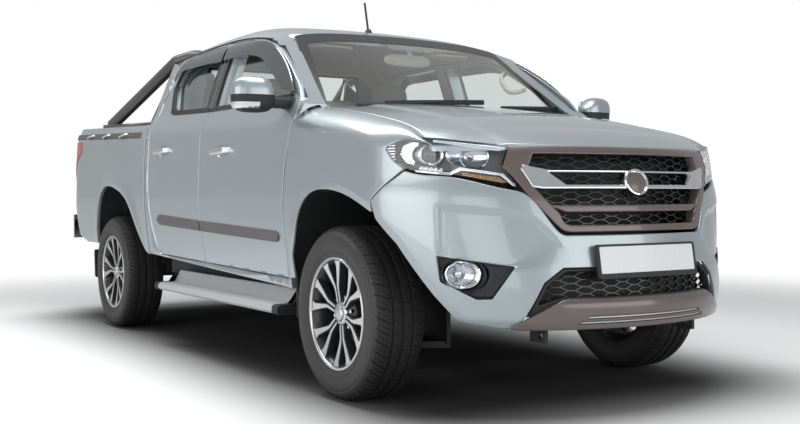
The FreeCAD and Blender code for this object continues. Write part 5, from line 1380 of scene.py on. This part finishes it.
rubber = grained("black_tread_rubber", "#161616", 0.72, 0.0,
                 2.5, 0.12, ("#121212", "#1C1C1B"), (0.62, 0.82), 5.0)
# Painted sheen: the side walls' rubber is a lighter grey than the tread's.
wall_rubber_painted_sheen = grained("painted_sheen_wall_rubber", "#2C2B2A", 0.5, 0.0,
                      2.5, 0.1, ("#252524", "#353433"), (0.42, 0.58), 5.0)
half_tread = [(228, 97), (231, 106), (240, 111.5), (250, 113), (252, 115), (258, 116), (260, 118.2),
              (264, 118.6), (266, 117.6), (285, 121.5), (305, 122.5), (320, 121.5), (328, 118.5),
              (330, 119.0), (334, 118.4), (336, 115.5), (346, 109), (354, 102), (360, 94.5), (364.5, 84),
              (366.6, 74), (367.6, 62), (367.9, 54), (367.2, 51.5), (360.6, 49.5), (360.6, 43.5),
              (367.2, 41.5), (368, 38), (368, 30), (368, 20), (368, 9), (367.2, 7), (360.6, 5.5), (360.6, 0)]
tread_rows = np.array(half_tread + [(r, -w) for r, w in reversed(half_tread[:-1])])
pitches = 48
phases = np.array([0.0, 0.03, 0.12, 0.15, 0.5, 0.53, 0.59, 0.62])
pitch = (np.arange(pitches)[:, None] + phases[None, :]).ravel()
in_phase = np.tile(phases, pitches)[None, :]
block_cut, rib_cut = np.isin(in_phase, (0.03, 0.12)), np.isin(in_phase, (0.53, 0.59))
width = np.abs(tread_rows[:, 1])[:, None]
r, w = tread_rows[:, :1] + 0 * pitch[None, :], tread_rows[:, 1:] + 0 * pitch[None, :]
shoulder = smooth((width - 55.0) / 4.0) * smooth((r - 343.0) / 6.0)
rib = smooth((width - 10.0) / 3.0) * smooth((39.0 - width) / 3.0) * (r > 366)
cut = block_cut * shoulder * 6.5 + rib_cut * rib * 4.0
cut = cut + rib_cut * smooth((width - 60) / 4.0) * smooth((r - 356.0) / 4.0) * 3.0
angle = 2 * math.pi * pitch[None, :] / pitches + 0.0011 * (w + 0.35 * width)
loop_r, loop_w, loop_a = (np.concatenate([g, g[:, :1]], axis=1) for g in (r - cut, w, angle))
loop_a[:, -1] += 2 * math.pi
tread = net(np.stack([loop_r * np.cos(loop_a), loop_r * np.sin(loop_a), loop_w], -1))
middle = tread[0][tread[1]].mean(axis=1)
low = np.hypot(middle[:, 0], middle[:, 1]) < 343.0
for name, axle_x, side in wheels:
    placed = on_wheel(tread[0], axle_x, side)
    piece("tyre_" + name + "_rubber", [(placed, tread[1][~low], 0), (placed, tread[1][low], 1)],
          [rubber, wall_rubber_painted_sheen], "wheel_" + name, "tyre_rubber", ["tyre_" + name], 32.0)


# Alloy rims: cast in one piece, painted dark grey, then turned bright on the faces of six forked spokes and
# the lip. The barrel's silver inside takes the same dark grey as a painted shade. A plain silver cap covers
# the bore and six nuts sit between the spokes.
machined = grained("turned_bright_alloy", "#C6C7C9", 0.24, 0.9,
                   1.2, 0.02, ("#BCBDC0", "#D0D1D2"), (0.18, 0.3), Coat_Weight=0.4)
# Dark grey: the paint of the spokes' sides, and also the painted shade of the silver barrel.
rim_grey_and_painted_shade = grained("dark_grey_rim_paint_and_painted_shade", "#2E2F31", 0.4, 0.3,
                      1.5, 0.03, ("#28292B", "#37383A"), (0.34, 0.46), Coat_Weight=0.3)
cast_iron = grained("turned_cast_iron", "#6E6A66", 0.45, 0.8,
                    2.0, 0.05, ("#615D59", "#7C7874"), (0.38, 0.55))
circle = even_angles(120)
lip = spun([(238.5, 104), (238.5, 110.5), (236.5, 112.5), (229, 112.5), (226.5, 110.5), (225, 106)], circle)
# Painted shade: the barrel is drawn in the rim's dark grey, darker than its silver metal.
barrel = spun([(225, 106), (219, 98), (210, 88), (205, 66), (200, 40), (198, -60), (212, -92), (226, -106),
               (238, -110)], circle)
disc = spun([(60, -12), (120, -12), (148, -13), (148, -33), (60, -34)], circle)
hub_disc = spun([(34, 80), (60, 74), (84, 60), (88, 50), (88, 30), (60, 20)], circle)
hub_top = spun([(52, 78), (51, 84), (47, 87), (36, 89), (33, 86)], circle[::2])
cap = spun([(34, 84), (34, 92), (31, 96.5), (22, 99.5), (10, 101), (0, 101.4)], circle[::2])
nut = spun([(11.5, 55), (11.5, 74), (9.5, 77), (5, 78), (0, 78)], even_angles(6))
nut = (nut[0] + np.array([70.0, 0.0, 0.0]), nut[1])


def spoke_place(r, t, depth):
    """Face of the spokes: it dishes inwards by 18 mm towards the hub, as the square of the radius does."""
    return r, t, 105.0 - 18.0 * (1 - (r * r + t * t) / 225.0 ** 2) - depth


arm_ring = ring_of([(44, 2.0), (112, 2.2), (128, 6.0), (164, 19), (200, 31), (226, 26), (214, 84), (194, 69),
                    (158, 48), (118, 26.0), (102, 21.0), (44, 18.0)], 12.0, 4.0)
arm = panel(arm_ring, spoke_place, 0.0, 34.0, 2.6, (),
            lattice(np.arange(48, 226, 14.0), np.arange(3, 80, 9.0)))
arm = [(*part, min(k, 1)) for k, part in enumerate(arm)]
web_ring = ring_of([(44, -8), (118, -8), (132, 0), (118, 8), (44, 8)], 20.0, 3.0)
web = panel(web_ring, spoke_place, 8.0, 33.0, 1.0)
web = [(*part, 1) for part in web]


def swung(part, angle, flip=1.0):
    """A part of the wheel's face, mirrored or not across its own middle line, turned about the axle."""
    points = part[0] * np.array([1.0, flip, 1.0])
    c, s = math.cos(angle), math.sin(angle)
    return (np.column_stack([c * points[:, 0] - s * points[:, 1], s * points[:, 0] + c * points[:, 1],
                             points[:, 2]]),
            *part[1:])


for name, axle_x, side in wheels:
    start = math.radians(-18.0 if name[0] == "f" else -6.0)
    spokes, nuts = [], []
    for k in range(6):
        turn_of = start + k * math.pi / 3
        spokes += [swung(part, turn_of, flip) for flip in (1.0, -1.0) for part in arm]
        spokes += [swung(part, turn_of) for part in web]
        nuts.append(swung(nut, turn_of + math.pi / 6))
    for part_name, parts, finish, slot in (
            ("spokes", spokes, [machined, rim_grey_and_painted_shade], "alloy_wheel"),
            ("lip", [lip, hub_top], machined, "alloy_wheel"),
            ("barrel", [barrel, hub_disc], rim_grey_and_painted_shade, "alloy_wheel"),
            ("cap", [cap], brushed, "alloy_wheel"), ("nuts", nuts, chrome, "bright_chrome"),
            ("disc", [disc], cast_iron, "cast_metal")):
        placed = [(on_wheel(p[0], axle_x, side), *p[1:]) for p in parts]
        piece("wheel_" + name + "_" + part_name, placed, finish, "wheel_" + name, slot,
              ["rim_" + name] if part_name == "spokes" else ())


# Running boards: extruded aluminium treads, brushed and ribbed, on steel arms from the frame, with a
# black moulded cap at each end.
def extruded(profile, stations):
    """Bar of a closed profile of (y, z) along X, capped at both ends."""
    section = np.array([(0.0, y, z) for y, z in profile])
    stations = np.array(stations, float)
    middle = section.mean(axis=0)
    centres = np.column_stack([stations, np.full(len(stations), middle[1]),
                               np.full(len(stations), middle[2])])
    return loft(centres, np.repeat((section - middle)[None], len(stations), axis=0))


ribbed = [(842.0 + 6.0 * k + off, 364.6 + up) for k in range(13)
          for off, up in ((0.0, 0.0), (1.5, 1.6), (3.5, 1.6), (5.0, 0.0))]
board_profile = [(762, 323), (926, 323), (938, 333), (940, 337), (940, 350), (938, 355), (934, 360),
                 (926, 364)]
board_profile += ribbed[::-1] + [(840, 366), (833, 376), (822, 399), (816, 408), (812, 421), (806, 432),
                                 (793, 432), (819, 349), (762, 347)]
bright_board = grained("brushed_extruded_aluminium", "#C4C5C6", 0.42, 0.55,
                       4.0, 0.04, ("#BBBCBD", "#CECFCF"), (0.36, 0.5))
board = extruded(board_profile, np.linspace(-402.0, 1192.0, 24))
cap_profile = [(758, 320), (926, 320), (938, 326), (943, 334), (943, 353), (937, 363), (926, 367), (846, 368),
               (838, 380), (822, 408), (810, 434), (790, 434), (812, 360), (758, 350)]
caps = [extruded(cap_profile, stations) for stations in (
    (-447.0, -444.0, -402.0, -400.0), (1176.0, 1178.0, 1236.0, 1238.0))]
board_arms = [pebble((x0, 605.0, 339.0), (26, 165, 10), 9.0, 16, 24) for x0 in (-300.0, 350.0, 1050.0)]
pair("running_boards_treads", [board], bright_board, "root", "brushed_aluminium", ["running_boards"], 25.0)
pair("running_boards_caps", caps, inner_black, "root", "black_plastic", (), 30.0)
pair("running_boards_arms", board_arms, inner_black, "root", "black_chassis_paint")


# Mud flaps and wheel-arch liners: thick black polypropylene, screwed under the arches.
def arch_liner(middle_x, lift, low_y):
    """Skin 8 mm outside an arch's edge, from the body side in to the inner wing."""
    edge = np.array([(-445, 500), (-418, 600), (-372, 690), (-340, 780), (-264, 856), (-109, 891), (127, 861),
                     (296, 800), (432, 675)]) + np.array([middle_x, lift])
    centre = np.array([middle_x + 30.0, 430.0 + lift])
    away = cubic_through(edge, 22.0) - centre
    x, z = (centre + away * (1 + 8.0 / np.linalg.norm(away, axis=1))[:, None]).T
    outer = np.where(x > nose_start_x, nose_side_y(x, z), side_y(x, z)) - 16.0
    return net(np.array([np.column_stack([x, outer + (low_y - outer) * k / 6.0, z]) for k in range(7)]))


flap_front = panel(ring_of([(700, 300), (850, 306), (852, 560), (846, 600), (700, 600)], 30.0, 14.0),
                   lambda y, z, d: (1256.0 - d, y, z), 0.0, 12.0, 3.0)
flap_rear = panel(ring_of([(765, 300), (896, 306), (900, 500), (765, 500)], 30.0, 14.0),
                  lambda y, z, d: (-1840.0 - d, y, z), 0.0, 12.0, 3.0)
liners = [arch_liner(front_axle_x, 0, 520.0), arch_liner(rear_axle_x + 60, 46, 560.0)]
pair("wheel_arch_liners", liners, inner_black, "root", "black_plastic", ["wheel_liners"], outward=False)
pair("mud_flaps", flap_front + flap_rear, inner_black, "root", "black_plastic")


# Sports bar: bent steel tube on foot plates, in the same dark warm satin as its plates. Rear bumper:
# a bent chromed step tube on brackets. Both are welded, so each is one smooth skin.
def one_finish(middle, normal):
    """The first finish on every face."""
    return np.zeros(len(middle), int)


def step_finish(middle, normal):
    """Black on the flat top of the step, chrome on every other face."""
    return ((np.abs(middle[:, 1]) < 500.0) & (normal[:, 2] > 0.7)).astype(int)


merged_copy("sports_bar_tubes", "sports_bar", [dark_satin_and_painted_shade], one_finish, "root", 40.0)
merged_copy("rear_bumper_bar", "rear_bumper", [chrome, inner_black], step_finish, "root",
            40.0)


# Seats: moulded foam under stretched grey-beige cloth, with bolsters and sewn channels, each pad blown
# up as cloth. Head restraints stand on steel posts.
def plumped(half, power, voxel=0.022, pressure=4.0, cap=24.0):
    """Pad about its own middle: a rounded box a little too small, evened out and blown up as cloth."""
    points, quads = pebble((0.0, 0.0, 0.0), np.array(half) - 0.3 * cap, power, 40, 64)
    mesh = bpy.data.meshes.new("pad")
    mesh.from_pydata((points / 1000.0).tolist(), [], quads.tolist())
    work = bmesh.new()
    work.from_mesh(mesh)
    bmesh.ops.remove_doubles(work, verts=work.verts, dist=1e-5)
    bmesh.ops.recalc_face_normals(work, faces=work.faces)
    work.to_mesh(mesh)
    work.free()
    pad = bpy.data.objects.new("pad", mesh)
    scene.collection.objects.link(pad)
    even = pad.modifiers.new("even", "REMESH")
    even.mode = "VOXEL"
    even.voxel_size = voxel
    pad.data = bpy.data.meshes.new_from_object(pad.evaluated_get(bpy.context.evaluated_depsgraph_get()))
    pad.modifiers.clear()
    start = np.array([v.co for v in pad.data.vertices])
    faces = np.array([p.vertices for p in pad.data.polygons])
    cloth = pad.modifiers.new("cloth", "CLOTH")
    cloth.settings.quality = 4
    cloth.settings.use_pressure = True
    cloth.settings.uniform_pressure_force = pressure
    cloth.settings.effector_weights.gravity = 0.0
    cloth.point_cache.frame_start, cloth.point_cache.frame_end = 1, 20
    for number in range(1, 21):
        scene.frame_set(number)
    swollen = bpy.data.meshes.new_from_object(pad.evaluated_get(bpy.context.evaluated_depsgraph_get()))
    moved = np.array([v.co for v in swollen.vertices]) - start
    length = np.linalg.norm(moved, axis=1)[:, None]
    start = start + moved * np.minimum(1.0, cap / 1000.0 / np.maximum(length, 1e-9))
    scene.frame_set(1)
    bpy.data.objects.remove(pad)
    return start * 1000.0, faces


def upholstered(pad, centre, lean, seams, bolster=0.0):
    """A pad with channels pressed in across its middle lines, leaned back by degrees and set in the cabin."""
    points, faces = pad
    a, b, c = points.T.copy()
    top = smooth(c / 20.0)
    for axis, place in seams:
        line = (np.abs(b) if axis == "b" else a) - place
        c -= top * 7.0 * np.exp(-(line / 9.0) ** 2)
    c += top * bolster * smooth((np.abs(b) - 150.0) / 60.0)
    u, v = math.cos(math.radians(lean)), math.sin(math.radians(lean))
    return np.column_stack([centre[0] + a * u - c * v, centre[1] + b, centre[2] + a * v + c * u]), faces


seat_cloth, tree, shader = coated("woven_grey_beige_seat_cloth", "#8E8981", 0.85, 0.0, Sheen_Weight=0.3)
where = add(tree, "ShaderNodeTexCoord")
threads = [add(tree, "ShaderNodeTexWave", {"Scale": 160.0, "bands_direction": d, "Distortion": 1.0},
               [(where.outputs["Object"], "Vector")]) for d in ("Y", "Z")]
weave = add(tree, "ShaderNodeMath", {"operation": "MULTIPLY"},
            [(thread.outputs["Fac"], k) for k, thread in enumerate(threads)])
bump = add(tree, "ShaderNodeBump", {"Strength": 0.6, "Distance": 0.0006}, [(weave.outputs[0], "Height")])
tree.links.new(bump.outputs["Normal"], shader.inputs["Normal"])
mix = add(tree, "ShaderNodeMix", {"data_type": "RGBA", 6: linear("#7F7A73"), 7: linear("#A19B92")},
          [(weave.outputs[0], 0)])
tree.links.new(mix.outputs[2], shader.inputs["Base Color"])
front_cushion, front_back = plumped((262, 252, 66), 5.0), plumped((300, 235, 66), 5.0)
bench_cushion, bench_back = plumped((250, 632, 66), 6.0), plumped((300, 620, 56), 6.0)
head_pad = plumped((82, 128, 52), 3.2, 0.008)
bench_seams = (("b", 215.0), ("a", 60.0))
pads = []
for side, y0 in (("l", 370.0), ("r", -370.0)):
    pads += [("seat_f" + side + "_cushion",
              upholstered(front_cushion, (425, y0, 775), 2, (("b", 150.0), ("a", 60.0)), 22.0)),
             ("seat_f" + side + "_back",
              upholstered(front_back, (108, y0, 1060), 100, (("b", 150.0), ("a", -40.0)), -24.0)),
             ("head_pad_f" + side, upholstered(head_pad, (40, y0, 1462), 98, ()))]
pads += [("bench_cushion", upholstered(bench_cushion, (-290, 0, 775), 2, bench_seams)),
         ("bench_back", upholstered(bench_back, (-562, 0, 1060), 98, bench_seams))]
pads += [("head_pad_r" + str(number), upholstered(head_pad, (-612, y0, 1425), 96, ()))
         for number, y0 in enumerate((-400.0, 0.0, 400.0))]
for name, part in pads:
    pad = piece(name, [part], seat_cloth, "root", "seat_fabric", ["seats"] if name == "bench_back" else (),
                180.0)
    finer = pad.modifiers.new("finer", "SUBSURF")
    finer.levels = finer.render_levels = 1
a = even_angles(14)
post_section = np.column_stack([6 * np.cos(a), 6 * np.sin(a), 0 * a])
posts = []
for x0, y0, z0 in ((46, 370, 1370), (46, -370, 1370), (-606, -400, 1350), (-606, 0, 1350), (-606, 400, 1350)):
    for across in (-62.0, 62.0):
        line = np.column_stack([np.full(6, x0), np.full(6, y0 + across), np.linspace(z0 - 40, z0 + 60, 6)])
        posts.append(loft(line, post_section[None]))
bases = [pebble(centre, half, 8.0, 20, 32) for centre, half in (
    ((400, 370, 655), (210, 180, 62)), ((400, -370, 655), (210, 180, 62)), ((-330, 0, 650), (180, 560, 62)))]
piece("head_pad_posts", posts, chrome, "root", "bright_chrome")
piece("seat_bases", bases, trim_grey, "root", "interior_plastic")

# Cabin trim: dashboard in soft-touch charcoal with a hooded dial cluster, a glass screen between two
# vents, a leather-bound steering wheel, inside mirror, sun visors and grab handle.
charcoal = grained("charcoal_soft_touch_skin", "#2B2B2D", 0.7, 0.0,
                   1.6, 0.2, ("#262628", "#323234"), (0.6, 0.78), 4.0)
hide = grained("black_wrapped_leather", "#1C1B1B", 0.5, 0.0,
               1.2, 0.25, ("#171616", "#242322"), (0.42, 0.6), 4.0, Sheen_Weight=0.1)
merged_copy("dashboard_body", "dashboard", [charcoal], one_finish, "root", 40.0)
merged_copy("steering_wheel_rim", "steering_wheel", [hide], one_finish, "steering_wheel",
            50.0)
dash_screen = panel(oblong(125, 1085, 1190, 10.0), lambda y, z, d: (942.0 + 0.24 * (z - 1085.0) + d, y, z),
                    0.0, 14.0, 3.0)
vents = [pebble((938 + 3.6 * k, y0, 1108 + 15 * k), (10, 46, 3), 4.0, 8, 16)
         for y0 in (-680.0, -185.0, 185.0, 680.0) for k in range(5)]
inside_mirror = [pebble((804, 30, 1584), (16, 145, 34), 3.2),
                 pebble((820, 30, 1622), (20, 12, 34), 2.5, 16, 20)]
visors = [pebble((655, y0, 1642), (80, 180, 8), 5.0) for y0 in (370, -370)]
grab = cubic_through([(870, 640, 1552), (884, 596, 1520), (925, 580, 1474), (985, 584, 1432),
                      (1014, 610, 1432), (1022, 650, 1446)], 9.0)
patch_ring = ring_of([(-110, 1626), (150, 1626), (190, 1702), (-150, 1702)], 24.0, 12.0)
for name, parts, finish, body, slot in (
        ("dashboard_hood", [pebble((1010, -370, 1222), (95, 200, 34), 3.0)], charcoal, "root",
         "interior_plastic"),
        ("dashboard_screen", dash_screen, gloss_black, "root", "black_plastic"),
        ("dashboard_vents", vents, brushed, "root", "brushed_aluminium"),
        ("steering_wheel_boss", [pebble((812, -370, 1128), (26, 66, 58), 3.0)], charcoal, "steering_wheel",
         "interior_plastic"),
        ("inside_mirror_shell", inside_mirror, beige_trim, "root", "interior_plastic"),
        ("sun_visors", visors, beige_trim, "root", "interior_plastic"),
        ("grab_handle", [bar_along(grab, 11.0, 15.0, 2.6)], beige_trim, "root", "interior_plastic"),
        ("windscreen_sensor_patch", panel(patch_ring, windscreen_place, 6.4, 8.4, 0.6), fired_black, "root",
         "black_plastic")):
    piece(name, parts, finish, body, slot)


# Sills: a spot-welded flange hangs under each sill, over a black closing panel.
def flange_place(x, z, depth):
    """Upright sheet at 806 mm from the middle, moved out by two smooth steps of 14 mm towards the front."""
    y = 806.0 + 14.0 * smooth((x - 100.0) / 500.0) + 14.0 * smooth((x - 700.0) / 300.0) - depth
    return x, y, z


flange_ring = ring_of([(-560, 500), (1238, 436), (1238, 462), (-560, 540)], 40.0, 6.0)
flange = panel(flange_ring, flange_place, 0.0, 10.0, 2.0)
closing = panel(ring_of([(-700, 400), (1236, 380), (1236, 470), (-700, 540)], 60.0, 6.0),
                lambda x, z, d: (x, 748.0 - d + 0 * x, z), 0.0, 6.0, 1.0)
pair("sill_flanges", flange, body_paint, "root", "body_paint")
pair("sill_closing_panels", closing, inner_black, "root", "black_plastic")
# Painted shade: a dark grey sheet laid in the body-coloured channel under the bed's top rail.
channel_painted_shade = strip([(-2322, 1281), (-812, 1224), (-812, 1264), (-2322, 1321)], 8.0, 4.0, -6.5, 1.0)
pair("bed_rail_channel_painted_shade", channel_painted_shade, dark_satin_and_painted_shade, "root", "black_plastic")

# Parts that stay as packed: the ladder frame, axles, engine and inner panels, each in its own finish.
frame_black = grained("black_chassis_lacquer", "#161617", 0.55, 0.0,
                      2.5, 0.1, ("#121213", "#1E1E1F"), (0.45, 0.65), 4.0)
raw_metal = grained("cast_grey_metal", "#5A5753", 0.6, 0.7,
                    2.5, 0.2, ("#4F4C48", "#68645F"), (0.5, 0.7), 4.0)
bed_liner = grained("pebbled_black_bed_liner", "#1D1E20", 0.75, 0.0,
                    3.0, 0.5, ("#191A1C", "#26272A"), (0.65, 0.85), 5.0)
for node, finish in (("chassis_frame", frame_black), ("chassis_fittings", frame_black), ("engine", raw_metal),
                     ("front_panel", inner_black), ("front_suspension", frame_black),
                     ("rear_suspension", raw_metal), ("knuckle_l", raw_metal), ("knuckle_r", raw_metal),
                     ("load_bed", bed_liner), ("antenna", seal_rubber)):
    cad[node].data.materials.clear()
    cad[node].data.materials.append(finish)
    for polygon in cad[node].data.polygons:
        polygon.material_index = 0
